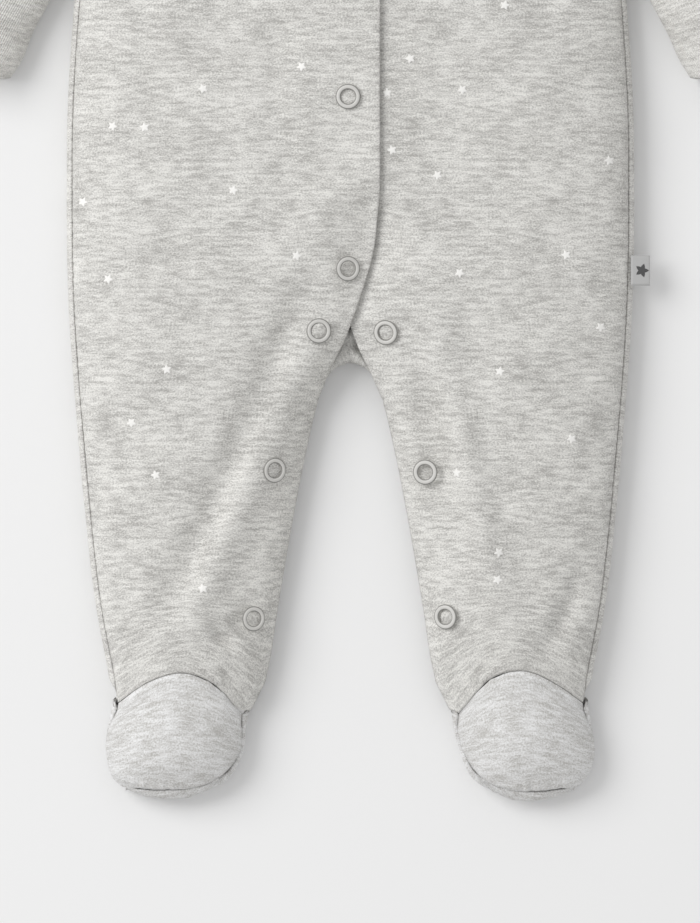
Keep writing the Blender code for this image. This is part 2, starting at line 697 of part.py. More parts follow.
def add_snap(name, x, rise, front, cloth, finish):
    """One ring snap, resting on the outer face of its front."""
    lift = lift_of_upper_front if front == "right" else None
    centre, up = (part[0, 0] for part in panel(np.array([[[x, rise]]]), "top", front, lift)[:2])
    across = np.cross((0.0, 1.0, 0.0), up)
    across /= np.linalg.norm(across)
    lengthways = np.cross(up, across)
    angles = np.linspace(0, 2 * math.pi, SNAP_SIDES, endpoint=False)[:, None]
    spokes = np.cos(angles) * across + np.sin(angles) * lengthways
    inner, outer = centre + SNAP_HOLE_RADIUS * spokes, centre + SNAP_RADIUS * spokes
    cloth_height = max(height_along(cloth, point, up) for point in np.concatenate([inner, outer]))
    base, top = up * (cloth_height + SNAP_GAP), up * (cloth_height + SNAP_GAP + SNAP_HEIGHT)
    shape = bmesh.new()
    loops = (inner + base, outer + base, outer + top, inner + top)
    made = [[shape.verts.new(point) for point in loop] for loop in loops]
    for low, high in zip(made, made[1:] + made[:1]):
        for i in range(SNAP_SIDES):
            k = (i + 1) % SNAP_SIDES
            shape.faces.new([low[k], low[i], high[i], high[k]])
    bmesh.ops.recalc_face_normals(shape, faces=shape.faces)
    add_object(name, shape, finish)


def surface_of(cloth):
    mesh = cloth.data
    return BVHTree.FromPolygons([v.co for v in mesh.vertices], [list(p.vertices) for p in mesh.polygons])


def height_along(cloth, point, up):
    """How far the cloth's mesh lies above a point in millimetres, along a direction."""
    start = (point + up * 20) * MM
    hit = cloth.ray_cast(Vector(start), Vector(-up))[0]
    return (np.array(hit) / MM - point) @ up if hit else 0.0


def add_label(finish):
    """The label's tab, which hangs out of the wearer's left side seam."""
    edge = at_rise(SIDE_LINE["left"], LABEL_RISE)
    shape = bmesh.new()
    corners = []
    for (x, rise), (reach_in, reach_out) in zip(edge, [LABEL_ENDS] * 2):
        for reach, height in (reach_in, reach_out):
            levels = (height, height + LABEL_WALL)
            corners.append([shape.verts.new((x + reach, rise - LENGTH / 2, level)) for level in levels])
    near_in, near_out, far_in, far_out = corners
    loop = [near_in, near_out, far_out, far_in]
    for level in (0, 1):
        shape.faces.new([corner[level] for corner in loop])
    for a, b in zip(loop, loop[1:] + loop[:1]):
        shape.faces.new([a[0], b[0], b[1], a[1]])
    bmesh.ops.recalc_face_normals(shape, faces=shape.faces)
    add_object("side_label", shape, finish)


def build_cloth(jersey, rib):
    """Makes every piece of cloth and returns the two fronts."""
    fronts = {}
    for side in SIDES:
        lift = lift_of_upper_front if side == "right" else None
        fronts[side] = add_cloth("front_" + side, [panel(front_plan(side), "top", side, lift)], jersey)
        add_cloth("vamp_" + side, [panel(foot_plan(side, True), "top", side)], jersey)
        add_cloth("sole_" + side, [panel(foot_plan(side, False), "under", side)], jersey)
        sleeve, cuff = sleeve_plans(side)
        add_cloth("sleeve_" + side, [tube(sleeve, side, True)], jersey, ring=True)
        add_cloth("cuff_" + side, [tube(cuff, side, False)], rib, BAND_WALL, ring=True)
    add_cloth("back", [panel(back_plan(side), "under", side) for side in SIDES], jersey)
    add_cloth("crotch_strip", [strip_grid()], jersey)
    add_cloth("neckband", [band_grid()], rib, BAND_WALL)
    return fronts


def main():
    for old in list(bpy.data.objects):
        bpy.data.objects.remove(old)
    jersey = material("heather_jersey", (0.63, 0.62, 0.59), 0.9)
    rib = material("heather_rib", (0.60, 0.59, 0.56), 0.9)
    fronts = build_cloth(jersey, rib)
    surfaces = {side: surface_of(front) for side, front in fronts.items()}
    enamel = material("enamel", (0.72, 0.71, 0.68), 0.35)
    for number, (x, rise, front) in enumerate(SNAPS, 1):
        add_snap(f"snap_{number:02d}", x, rise, front, surfaces[front], enamel)
    add_label(material("label_tape", (0.72, 0.72, 0.72), 0.8))


main()
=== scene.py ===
"""The looks of a footed baby sleepsuit: pale grey heather jersey with small raised stars, and ring snaps
down its front and both inner legs.

Every piece of cloth is made again, finer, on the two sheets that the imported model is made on: "top", which
domes, and "under", which lies flat and curls up at its rim. Both meet along the suit's outline. A piece is a
grid of points in plan, lifted onto its sheet and then given its seams, puckers and creases.

Lengths are in millimetres until a mesh is made. X runs towards the wearer's left, Y from the toes to the
neck, and heights up the suit are given as a rise above the toes.
"""

import math
from functools import partial

import bmesh
import bpy
import numpy as np
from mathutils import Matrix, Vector


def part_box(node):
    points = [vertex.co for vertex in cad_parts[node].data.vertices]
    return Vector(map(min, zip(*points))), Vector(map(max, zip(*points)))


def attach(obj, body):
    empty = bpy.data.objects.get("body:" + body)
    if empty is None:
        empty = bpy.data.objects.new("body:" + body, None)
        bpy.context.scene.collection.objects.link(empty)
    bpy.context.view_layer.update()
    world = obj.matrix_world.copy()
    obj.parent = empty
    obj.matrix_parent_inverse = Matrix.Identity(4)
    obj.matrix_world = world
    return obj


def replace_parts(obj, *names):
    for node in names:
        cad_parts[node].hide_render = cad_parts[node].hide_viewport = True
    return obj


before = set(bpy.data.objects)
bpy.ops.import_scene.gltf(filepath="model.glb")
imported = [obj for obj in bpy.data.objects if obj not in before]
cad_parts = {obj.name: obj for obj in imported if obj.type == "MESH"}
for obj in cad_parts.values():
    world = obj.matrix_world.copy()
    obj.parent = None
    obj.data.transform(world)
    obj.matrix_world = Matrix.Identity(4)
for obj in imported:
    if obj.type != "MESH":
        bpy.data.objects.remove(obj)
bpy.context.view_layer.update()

MM = 0.001
SIDES = ("right", "left")  # the wearer's
HAND = {"right": -1.0, "left": 1.0}  # the sign of X on each side

LENGTH = 506.0  # toes to the top of the neckband

WALL = 1.2  # heather jersey
BAND_WALL = 2.2  # cuffs and neckband are folded double
SEAM_GAP = 0.16  # between pieces that are sewn to each other

EDGE_HEIGHT = 7.0  # of the outline above the surface
TOP_RISE = 18.0  # of the top sheet above the outline
TOP_REACH = 50.0  # how far in from the outline the top sheet goes on rising
CURL_REACH = 10.0  # how far in from the outline the under sheet touches the surface

SIDE_SEAM_INSET = 1.75  # the back rolls over the outline to here, where the front begins
PLACKET_EDGE = 12.4  # the overlapping fronts end this far past the middle
STRIP_INSET = 4.3  # the back ends this far inside the inner leg, where the placket strip begins
STRIP_DEPTH = 3.0  # of the strip under the fronts' outer face
CUFF_LENGTH = 42.0
BAND_WIDTH = 13.0
NECK_GAP = SEAM_GAP / 2 / BAND_WIDTH

# The outline, as the half that lies at +X. Both halves are alike but for the feet.
SHOULDER_AND_SLEEVE = [  # (half width, rise): neckband, shoulder, then the sleeve's upper edge
    (40.0, 506.0), (52.0, 500.0), (78.0, 492.5), (102.0, 482.0), (124.0, 458.0), (152.0, 411.0),
    (178.0, 363.5), (197.6, 331.4),
]
UNDERARM = [  # (half width, rise): cuff corner, then the sleeve's lower edge up to the armpit
    (142.2, 303.7), (137.5, 311.5), (133.4, 321.3), (125.5, 336.4), (117.8, 355.0), (112.5, 375.0),
]
SIDE = [  # (half width, rise): the side from the armpit down to the ankle
    (112.5, 375.0), (115.6, 338.0), (118.4, 296.0), (119.0, 262.0), (118.3, 210.0), (115.1, 163.0),
    (111.3, 121.0), (107.1, 84.0), (101.6, 54.0), (99.5, 41.0),
]
INNER_LEG = [  # (half width, rise): up the inner leg from the ankle, then over the crotch
    (42.2, 37.8), (38.4, 42.4), (34.8, 54.0), (29.8, 85.0), (23.6, 121.0), (17.4, 152.0),
    (13.2, 168.0), (8.2, 175.4), (4.4, 179.8), (0.0, 181.2),
]
FEET = {  # (half width, rise), round each foot from the outer ankle to the inner one
    "right": [
        (99.5, 41.0), (101.7, 32.0), (102.5, 21.0), (99.4, 9.4), (90.5, 3.6), (75.0, 0.8), (61.5, 3.0),
        (50.5, 10.2), (45.2, 20.0), (43.6, 31.0), (42.2, 37.8),
    ],
    "left": [
        (99.5, 41.0), (100.9, 33.0), (102.4, 19.5), (97.6, 8.2), (87.2, 2.5), (72.5, 0.0), (59.5, 3.2),
        (50.2, 11.0), (45.2, 23.0), (43.0, 31.0), (42.2, 37.8),
    ],
}
VAMP_SEAM = {  # (half width, rise) from the outer side of each foot to the inner one
    "right": [(98.0, 41.5), (85.5, 50.0), (70.8, 54.2), (57.0, 49.6), (45.0, 36.8)],
    "left": [(98.0, 41.5), (86.0, 49.8), (72.5, 55.0), (58.6, 51.8), (44.8, 36.8)],
}
HEEL_SEAM = [(98.0, 41.5), (84.0, 55.0), (70.0, 58.5), (56.0, 53.0), (46.0, 40.2)]
FOOT_SEAM = [  # (how far round the foot, how far the seam of vamp and sole lies inside the outline)
    (0.0, 1.8), (0.10, 0.2), (0.30, -0.6), (0.40, 2.0), (0.50, 3.4), (0.62, 3.0), (0.74, 1.8),
    (0.86, 0.6), (0.93, 0.9), (1.0, 2.4),
]

ARMHOLE = [(112.5, 375.0), (101.0, 400.0), (97.5, 432.0), (102.0, 482.0)]
NECK_SIDE = (52.0, 500.0)  # (half width, rise) where the neck seam meets the shoulder
SHOULDER_TIP = (102.0, 482.0)
FRONT_NECK_DROP = 48.0
BACK_NECK_DROP = 14.0

# The free edge of each front as (half width, rise), from the inner leg up to the placket's straight stretch.
# A negative half width is past the middle.
UPPER_FLAP = [
    (13.2, 168.0), (8.6, 181.0), (4.2, 191.0), (-0.8, 202.5), (-6.1, 217.0), (-10.3, 232.0), (-12.4, 256.0),
]
LOWER_FLAP = [
    (13.2, 168.0), (8.4, 178.5), (2.9, 191.0), (-1.4, 202.0), (-7.0, 215.0), (-12.4, 232.0), (-12.4, 256.0),
]

# Large folds: height (a trough's is negative), half width, and the points of its line.
FOLDS = [
    (-2.6, 10.0, [(-18, 212), (-37, 164), (-58, 119), (-75, 84)]),
    (1.6, 9.0, [(-8, 190), (-28, 170), (-50, 118), (-68, 76)]),
    (-1.8, 9.0, [(24, 200), (33, 170), (38, 140)]),
    (1.6, 10.0, [(32, 200), (43, 164), (54, 114), (66, 72)]),
    (-5.5, 13.0, [(8, 238), (4, 214), (0, 198), (0, 183)]),
    (3.0, 20.0, [(-74, 26), (-72, 30)]),
    (3.0, 20.0, [(72, 26), (72, 30)]),
]
FOLD_FADE = 12.0  # folds die away over this distance from the outline

# Where the upper front lies on the other: its lift grows towards its free edge and stops below the crotch.
LIFT_AT_OVERLAP = 2.2
LIFT_AT_EDGE = 3.0
BAND_LIFT = 1.25  # the neckband is lifted by this many times as much, for it is thicker
LIFT_START = -52.0
LIFT_LOW_RISE = 166.0
LIFT_FULL_RISE = 204.0

SNAPS = [  # (x, rise, which front it is on)
    (-1.2, 437.6, "right"),
    (-1.2, 366.2, "right"),
    (-1.0, 294.8, "right"),
    (-2.3, 223.4, "right"),
    (-13.7, 197.4, "right"),
    (-32.1, 139.0, "right"),
    (-40.9, 76.9, "right"),
    (14.9, 196.6, "left"),
    (31.7, 138.2, "left"),
    (40.1, 77.7, "left"),
]

LABEL_WALL = 1.0

# Where the grids have their lines. Pieces that are sewn together have the same points along their seam.
ANKLE_RISE = 38.6
LEG_ROWS = [50.0, 62.0, 78.0, 96.0, 114.0, 132.0, 147.0, 158.0, 166.0, 173.0, 179.0, 183.0]
CROTCH_ROW = 185.5
SEAT_ROWS = [192.0, 202.0, 214.0, 228.0, 246.0, 268.0, 298.0, 332.0, 358.0]
FRONT_COLUMNS = [0.0, 0.02, 0.06, 0.13, 0.24, 0.37, 0.51, 0.65, 0.78, 0.88, 0.95, 1.0]
BACK_COLUMNS = [0.0, 0.011, 0.026, 0.055, 0.10, 0.20, 0.40, 0.62, 0.82, 0.93, 1.0]
ARMHOLE_STEPS = [0.0, 0.05, 0.17, 0.38, 0.62, 0.83, 0.95, 1.0]  # from the armpit up to the shoulder
FRONT_MIDDLE = [375.0, 402.0, 430.0]  # rises along the placket, below the neck
BACK_MIDDLE = [375.0, 410.0, 446.0]
NECK_SHARES = [0.0, 0.34, 0.66, 0.90, 1.0]  # round half of the neck, from the middle to the shoulder
FOOT_ROWS = [0.0, 0.055, 0.16, 0.36, 0.58, 0.78, 0.92, 1.0]
FOOT_LINE_STEPS = 60
FOOT_FINENESS = 4  # parts that each of those steps is split into
TOE_START, TOE_END = 20, 42  # the steps round the foot that are the toe seam
CUFF_BOW = 7.0  # the mouth of the cuff bulges by this much
CUFF_BLUNTNESS = 0.7
BAND_STEPS = 13
STRIP_COLUMNS = [-3.9, -2.0, -0.6, 1.0, 4.0, 9.0, 16.0]
NORMAL_STEP = 0.6

RIM_CHUNK = 2000  # points handled at a time

# How many points the smooth lines are given.
CURVE_SAMPLES = 40  # between two given points, before they are spaced evenly
CURVE_POINTS = 60
UNDERARM_POINTS, SIDE_POINTS, FOOT_POINTS = 24, 80, 72
SHOULDER_POINTS = 22  # of the sleeve's upper line, the ones that are on the body
SEAM_POINTS, SEAM_RELIEF_POINTS = 90, 30
FLAP_POINTS, FLAP_RELIEF_POINTS, GROOVE_POINTS = 90, 50, 30
CREASE_POINTS = 16

BEND_LOW_RISE, BEND_HIGH_RISE = 100.0, 450.0  # rows bend to meet a piece's shaped ends below and above these

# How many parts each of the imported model's steps is split into, between its rows and between its columns.
ROW_PARTS = 12
FRONT_PARTS = (ROW_PARTS, 9)
BACK_PARTS = (ROW_PARTS, 6)
VAMP_PARTS = (8, 9)
SOLE_PARTS = (8, 6)
STRIP_PARTS = 6
CALM_COLUMNS = 3.0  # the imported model's steps, at each end of its rows, that stay straight at the corners

SLEEVE_STEPS = 85
CUFF_STEPS = 45

# Relief of the cloth.
SOFT_HEIGHT = 0.35  # low bumps all over
PUCKER_LENGTH = (4.0, 7.0)  # how long a seam's puckers are
PUCKER_PEAK = 2.0  # how far from the seam they are highest
PUCKER_REACH = 3.0
EDGE_ROLL = 0.5  # how far a free edge rounds down
EDGE_RIPPLE = 0.10
SEAM_FADE = 2.0  # seams die away over this distance from the outline
RELIEF_FADE = 12.0  # and soft bumps and creases over this
CREASE_RIDGE = 0.45  # the ridges on either side of a crease, as a share of its depth
SOFT_LENGTHS = (46.0, 21.0)  # of the low bumps
UNDER_DRAW = (0.7, 1.2, 0.10)  # (dip, reach, pucker) of the back's and soles' seams
CUFF_DRAW = (0.8, 1.2, 0.10)
SEEDS = {"soft": (5, 6), "top": 11, "under": 17, "cuff": 23, "stars": 4}
SNAP_BULGE = 0.3  # of the cloth inside a ring
SNAP_DIP = 0.25  # of the cloth round it
SNAP_BULGE_REACH = 2.4
SNAP_DIP_RADIUS, SNAP_DIP_REACH = 5.6, 2.6

CREASES = [  # (height, half width, points of its line as (x, rise)); troughs are negative
    (-2.2, 2.2, [(-58.0, 70.5), (-53.0, 67.5), (-47.0, 62.4)]),
    (-2.0, 4.5, [(-39.0, 84.0), (-47.0, 74.0), (-58.0, 64.0)]),
    (-2.3, 6.0, [(-21.0, 214.0), (-37.0, 163.0), (-58.0, 118.0), (-74.0, 84.0)]),
    (1.7, 6.0, [(-2.0, 216.0), (-27.0, 180.0), (-55.0, 107.0), (-72.0, 68.0)]),
    (1.5, 6.0, [(32.0, 202.0), (43.0, 163.0), (54.0, 113.0), (66.0, 71.0)]),
    (-1.9, 6.0, [(27.0, 196.0), (35.0, 154.0), (40.0, 118.0)]),
    (-2.2, 4.5, [(97.0, 96.0), (90.0, 78.0), (80.0, 62.0)]),
    (-2.0, 4.5, [(-100.0, 88.0), (-92.0, 72.0), (-84.0, 60.0)]),
    (-1.4, 8.0, [(-29.0, 336.0), (-30.0, 290.0), (-26.0, 252.0)]),
    (-1.3, 7.0, [(60.0, 250.0), (86.0, 236.0), (108.0, 240.0)]),
    (-1.2, 5.0, [(-112.0, 240.0), (-88.0, 224.0), (-62.0, 226.0)]),
    (-1.2, 5.0, [(104.0, 372.0), (88.0, 352.0), (80.0, 326.0)]),
    (-1.2, 5.0, [(-104.0, 372.0), (-90.0, 350.0), (-84.0, 322.0)]),
    (-0.9, 6.0, [(-96.0, 440.0), (-74.0, 420.0), (-52.0, 414.0)]),
    (-0.9, 6.0, [(94.0, 446.0), (76.0, 428.0), (50.0, 424.0)]),
]

STAR_RADIUS = 2.2
STAR_PROFILE = [(1.0, -0.15), (1.0, 0.12), (0.9, 0.24), (0.72, 0.30)]  # (share of the radius, height)
STAR_SIDES = 30

STARS = {  # (x, rise) of each star that is seen
    "right": [
        (-20.4, 307.4), (-61.5, 298.2), (-99.3, 282.7), (-85.9, 282.2), (-48.9, 255.8), (-111.9, 251.2),
        (-22.5, 228.5), (-101.0, 218.8), (-76.7, 181.0), (-91.4, 158.8), (-81.3, 136.9), (-61.5, 89.5),
    ],
    "left": [
        (64.5, 333.1), (25.0, 310.8), (46.8, 297.8), (15.3, 296.5), (36.3, 262.1), (17.4, 272.6),
        (108.2, 268.4), (90.1, 228.9), (45.6, 221.3), (104.8, 198.7), (62.4, 180.2), (92.6, 152.0),
        (44.7, 137.8), (62.0, 104.6), (61.5, 93.2),
    ],
}
CHEST_STARS = {  # the same further up
    "right": [
        (-33.0, 341.0), (-74.0, 352.0), (-46.0, 379.0), (-88.0, 391.0), (-24.0, 405.0), (-64.0, 424.0),
        (-80.0, 458.0),
    ],
    "left": [
        (28.0, 352.0), (83.0, 366.0), (52.0, 388.0), (24.0, 408.0), (86.0, 417.0), (60.0, 440.0),
        (82.0, 464.0),
    ],
}

RING_SIDES = 48
RING_PROFILE = [  # (radius, height) of a snap's ring, over its base
    (3.10, 0.0), (3.10, 0.12), (3.32, 0.16), (3.45, 0.46), (3.9, 0.60), (4.45, 0.58), (4.85, 0.40),
    (5.00, 0.12), (5.25, 0.08), (5.25, 0.0),
]
RING_EDGE_SHADE_STEPS = (0, 1, 2, 6, 7, 8)  # the steps of its profile at its inner and outer edge, which take a dark colour: partly bare metal, partly painted shade of the crevice where the cloth is pinched against it
LABEL_STAR_RADIUS = 3.0
STRIP_GROOVE = 3.2  # how much deeper the placket strip lies just under the fronts' edges
STRIP_GROOVE_REACH = 1.3
LABEL_STEPS, LABEL_ROWS = 9, 12
LABEL_STAR_PLACE = 0.62  # share of the label's length
LABEL_STAR_LEVELS = (-0.05, 0.06)  # its lower and upper face, over the tape

STREAK_SHARE, SPECK_SHARE = 0.43, 0.43  # of the yarn's unevenness
JERSEY_DARK, JERSEY_LIGHT = (0.43, 0.42, 0.40), (0.87, 0.86, 0.825)
FOOT_PAINTED_LIGHT_GAIN = 1.22  # painted light: the feet's jersey is made lighter, to stand for the brighter light that they catch
RIB_DARK, RIB_LIGHT = (0.47, 0.458, 0.435), (0.87, 0.86, 0.825)
WALE, COURSE, RIB = 0.75, 0.55, 1.0  # the knit's pitches
STREAK_SIZE, SPECK_SIZE, CLOUD_SIZE = (7.5, 1.7), (0.8, 0.6), (24, 16)  # along the courses, up the wales
STAR_COLOUR = (0.89, 0.88, 0.855)
ENAMEL_COLOUR = (0.63, 0.62, 0.595)
# Dark edge of the snaps' rings: partly bare metal, partly painted shade of the crevice against the cloth.
SNAP_EDGE_SHADE_COLOUR = (0.27, 0.265, 0.25)
LABEL_COLOUR = (0.50, 0.50, 0.495)
LABEL_INK_COLOUR = (0.09, 0.09, 0.09)

FLOOR_HALF = 3000.0
FLOOR_DROP = 0.2  # below the cloth's underside
FLOOR_COLOUR = (0.86, 0.86, 0.86)
VIEW_CENTRE = (-0.2, -110.4, 0.0)
CAMERA_HEIGHT = 4000.0
LENS = 371.4
KEY_PLACE = (-1950.0, 985.0, 1990.0)
KEY_SIZE = 2000.0
KEY_POWER = 50.0
FILL = 0.655


def smooth_curve(points, count=CURVE_POINTS):
    """Evenly spaced points on a smooth curve through the given ones."""
    knots = np.array(points, float)
    steps = np.sqrt(np.linalg.norm(np.diff(knots, axis=0), axis=1))
    times = np.concatenate(([0.0], np.cumsum(steps)))
    slopes = np.gradient(knots, times, axis=0)
    u = np.linspace(0.0, 1.0, CURVE_SAMPLES)[:, None]
    runs = []
    for i, step in enumerate(np.diff(times)):
        start = (1 + 2 * u) * (1 - u) ** 2 * knots[i] + u * (1 - u) ** 2 * step * slopes[i]
        end = u**2 * (3 - 2 * u) * knots[i + 1] + u**2 * (u - 1) * step * slopes[i + 1]
        runs.append(start + end)
    return along(np.concatenate(runs), np.linspace(0.0, 1.0, count))


def along(line, fractions):
    """Points at these fractions of a line's length."""
    steps = np.linalg.norm(np.diff(line, axis=0), axis=1)
    length = np.concatenate(([0.0], np.cumsum(steps)))
    at = np.asarray(fractions) * length[-1]
    return np.stack([np.interp(at, length, line[:, k]) for k in range(2)], axis=1)


def at_rise(line, rises):
    """Points where a line that climbs steadily reaches these rises."""
    order = np.argsort(line[:, 1], kind="stable")
    rises = np.asarray(rises, float)
    return np.stack([np.interp(rises, line[order, 1], line[order, 0]), rises], axis=1)


def shifted(line, distance):
    """A line moved sideways, to the left of its own direction."""
    ahead = np.gradient(line, axis=0)
    ahead /= np.linalg.norm(ahead, axis=1)[:, None]
    return line + distance * np.stack([-ahead[:, 1], ahead[:, 0]], axis=1)


def mirrored(points, side):
    """Points of the +X half moved to the named side of the wearer, whose left is at +X."""
    return np.array(points, float) * (HAND[side], 1.0)


def smooth_step(value, low, high):
    u = np.clip((value - low) / (high - low), 0.0, 1.0)
    return u * u * (3 - 2 * u)


SLEEVE_TOP = {s: smooth_curve(mirrored(SHOULDER_AND_SLEEVE, s)) for s in SIDES}
SLEEVE_UNDER = {s: smooth_curve(mirrored(UNDERARM, s), UNDERARM_POINTS) for s in SIDES}
SIDE_LINE = {s: smooth_curve(mirrored(SIDE, s), SIDE_POINTS) for s in SIDES}
FOOT_LINE = {s: smooth_curve(mirrored(FEET[s], s), FOOT_POINTS) for s in SIDES}
LEG_LINE = {s: smooth_curve(mirrored(INNER_LEG, s)) for s in SIDES}


def closed_edges():
    """Start and end points of every stretch of outline where the top and under sheets meet."""
    lines = [t[s] for t in (SLEEVE_TOP, SLEEVE_UNDER, SIDE_LINE, FOOT_LINE, LEG_LINE) for s in SIDES]
    starts = np.concatenate([line[:-1] for line in lines])
    ends = np.concatenate([line[1:] for line in lines])
    return starts, ends


EDGE_STARTS, EDGE_ENDS = closed_edges()


def rim_distance(points):
    """A smooth stand-in for the distance to the outline, worked out for a few thousand points at a time."""
    runs = [points[i : i + RIM_CHUNK] for i in range(0, len(points), RIM_CHUNK)]
    return np.concatenate([rim_distance_of_few(run) for run in runs])


def rim_distance_of_few(points):
    """The same for a few: the sum of 1/distance^4 along the outline, to the power -1/3."""
    ahead = EDGE_ENDS - EDGE_STARTS
    lengths = np.linalg.norm(ahead, axis=1)
    ahead = ahead / lengths[:, None]
    offset = points[:, None, :] - EDGE_STARTS[None]
    start = -(offset * ahead).sum(2)
    end = start + lengths
    across = np.abs(offset[..., 0] * ahead[:, 1] - offset[..., 1] * ahead[:, 0])
    across = np.maximum(across, 1e-3)

    def share(t):
        return t / (2 * across**2 * (t**2 + across**2)) + np.arctan(t / across) / (2 * across**3)

    total = (share(end) - share(start)).sum(1)
    return (2 / math.pi * total) ** (-1 / 3)


def nearest_on(points, line):
    """Distance from each point to a line, and how far along the line its nearest point is."""
    line = np.asarray(line, float)
    best = np.full(len(points), np.inf)
    place = np.zeros(len(points))
    passed = 0.0
    for start, end in zip(line[:-1], line[1:]):
        ahead = end - start
        length = np.linalg.norm(ahead)
        if length < 1e-6:
            continue
        t = np.clip(((points - start) @ ahead) / length**2, 0, 1)
        gap = np.linalg.norm(points - start - t[:, None] * ahead, axis=1)
        closer = gap < best
        best[closer] = gap[closer]
        place[closer] = passed + t[closer] * length
        passed += length
    return best, place


def top_height(points, rim):
    inner = 1 - np.minimum(rim / TOP_REACH, 1)
    height = EDGE_HEIGHT + TOP_RISE * np.sqrt(1 - inner**2)
    for rise, reach, line in FOLDS:
        fold = rise * np.exp(-((nearest_on(points, line)[0] / reach) ** 2))
        height += fold * np.minimum(rim / FOLD_FADE, 1)
    return height


def under_height(rim):
    inner = 1 - np.minimum(rim / CURL_REACH, 1)
    return EDGE_HEIGHT * (1 - np.sqrt(1 - inner**2))


def body_outline():
    """The outline of torso, legs and feet as one line, with the cloth on its left."""
    right, left = [
        np.concatenate([SLEEVE_TOP[s][:SHOULDER_POINTS], SIDE_LINE[s], FOOT_LINE[s], LEG_LINE[s]])
        for s in SIDES
    ]
    return [right, left[::-1]]


OUTLINE = body_outline()


def fold_over(points):
    """Points that stray outside the outline, mirrored back inside it, and which ones those were."""
    best = np.full(len(points), np.inf)
    foot = np.zeros_like(points)
    outside = np.zeros(len(points), bool)
    for line in OUTLINE:
        for start, end in zip(line[:-1], line[1:]):
            ahead = end - start
            square = ahead @ ahead
            if square < 1e-12:
                continue
            t = np.clip(((points - start) @ ahead) / square, 0, 1)
            near = start + t[:, None] * ahead
            gap = np.linalg.norm(points - near, axis=1)
            closer = gap < best
            side = ahead[0] * (points[:, 1] - start[1]) - ahead[1] * (points[:, 0] - start[0])
            best[closer] = gap[closer]
            foot[closer] = near[closer]
            outside[closer] = (side < 0)[closer]
    return np.where(outside[:, None], 2 * foot - points, points), outside


def on_sheet(points, top):
    """3-D points above plan points, on the top sheet where top is true and on the under sheet elsewhere."""
    rim = rim_distance(points)
    heights = np.where(top, top_height(points, rim), under_height(rim))
    return np.column_stack([points[:, 0], points[:, 1] - LENGTH / 2, heights])


def draped(plan, sheet):
    """A grid of plan points laid on its sheet. What goes past the outline rolls round onto the other one."""
    rows, columns = plan.shape[:2]
    points, rolled = fold_over(plan.reshape(-1, 2))
    top = ~rolled if sheet == "top" else rolled
    return on_sheet(points, top).reshape(rows, columns, 3)


def facing(plan, sheet):
    """The direction that faces out of a draped grid at each of its points. Neighbours along a seam agree on
    it."""
    steps = ((NORMAL_STEP, 0), (0, NORMAL_STEP))
    east, north = [draped(plan + step, sheet) - draped(plan - step, sheet) for step in steps]
    normals = np.cross(east, north)
    normals /= np.linalg.norm(normals, axis=2)[..., None]
    return normals if sheet == "top" else -normals


def finer(values, parts):
    """The same values with each step between them split into this many parts."""
    steps = len(values) - 1
    return np.interp(np.linspace(0, steps, steps * parts + 1), np.arange(steps + 1), values)


FRONT_U = finer(FRONT_COLUMNS, FRONT_PARTS[1])
BACK_U = finer(BACK_COLUMNS, BACK_PARTS[1])
ARMHOLE_U = finer(ARMHOLE_STEPS, ROW_PARTS)
NECK_U = finer(NECK_SHARES, ROW_PARTS)
FOOT_U = finer(FOOT_ROWS, VAMP_PARTS[0])


def grid_normals(points):
    """Directions square to a grid of points, facing out where rows go up and columns go left."""
    normals = np.cross(np.gradient(points, axis=0), np.gradient(points, axis=1))
    return normals / np.maximum(np.linalg.norm(normals, axis=2), 1e-9)[..., None]


# Relief: what the seams, stitches and the softness of the cloth add to a sheet.


def waves(points, length, seed):
    """A smooth random field between about -1 and 1, whose bumps are about this long."""
    random = np.random.default_rng(seed)
    total = np.zeros(len(points))
    count = 14
    for _ in range(count):
        angle, phase = random.uniform(0, 2 * math.pi, 2)
        pitch = 2 * math.pi / (length * random.uniform(0.7, 1.5))
        total += np.sin(pitch * (points @ (math.cos(angle), math.sin(angle))) + phase)
    return total / math.sqrt(count)


def seam_relief(points, line, dip, reach, pucker, seed):
    """How far a seam draws the cloth down along its line, and the puckers on either side of it."""
    gap, place = nearest_on(points, line)
    random = np.random.default_rng(seed)
    drawn = -dip * np.exp(-((gap / reach) ** 2))
    ripple = np.zeros(len(points))
    for _ in range(4):
        pitch = 2 * math.pi / random.uniform(*PUCKER_LENGTH)
        ripple += 0.5 * np.sin(pitch * place + random.uniform(0, 2 * math.pi))
    return drawn, pucker * ripple * np.exp(-(((gap - PUCKER_PEAK) / PUCKER_REACH) ** 2))


def edge_distance(points, side):
    """Distance to the outline of one half, in plan."""
    best = np.full(len(points), np.inf)
    for lines in (SIDE_LINE, FOOT_LINE, LEG_LINE, SLEEVE_TOP, SLEEVE_UNDER):
        best = np.minimum(best, nearest_on(points, lines[side][::2])[0])
    return best


def softness(points):
    """Low bumps all over, as of cloth that has been folded and smoothed out by hand."""
    wide, narrow = [waves(points, length, seed) for length, seed in zip(SOFT_LENGTHS, SEEDS["soft"])]
    return SOFT_HEIGHT * (wide + 0.5 * narrow)


def crease_relief(points):
    """Short sharp creases: a trough with a soft ridge on either side."""
    total = np.zeros(len(points))
    for depth, width, line in CREASES:
        line = np.array(line, float)
        gap, place = nearest_on(points, smooth_curve(line, CREASE_POINTS))
        run = np.linalg.norm(np.diff(line, axis=0), axis=1).sum()
        ends = np.sin(math.pi * np.clip(place / run, 0.02, 0.98)) ** 0.6
        ridge = CREASE_RIDGE * np.exp(-(((gap - 2 * width) / (1.2 * width)) ** 2))
        total += depth * ends * (np.exp(-((gap / width) ** 2)) - ridge)
    return total


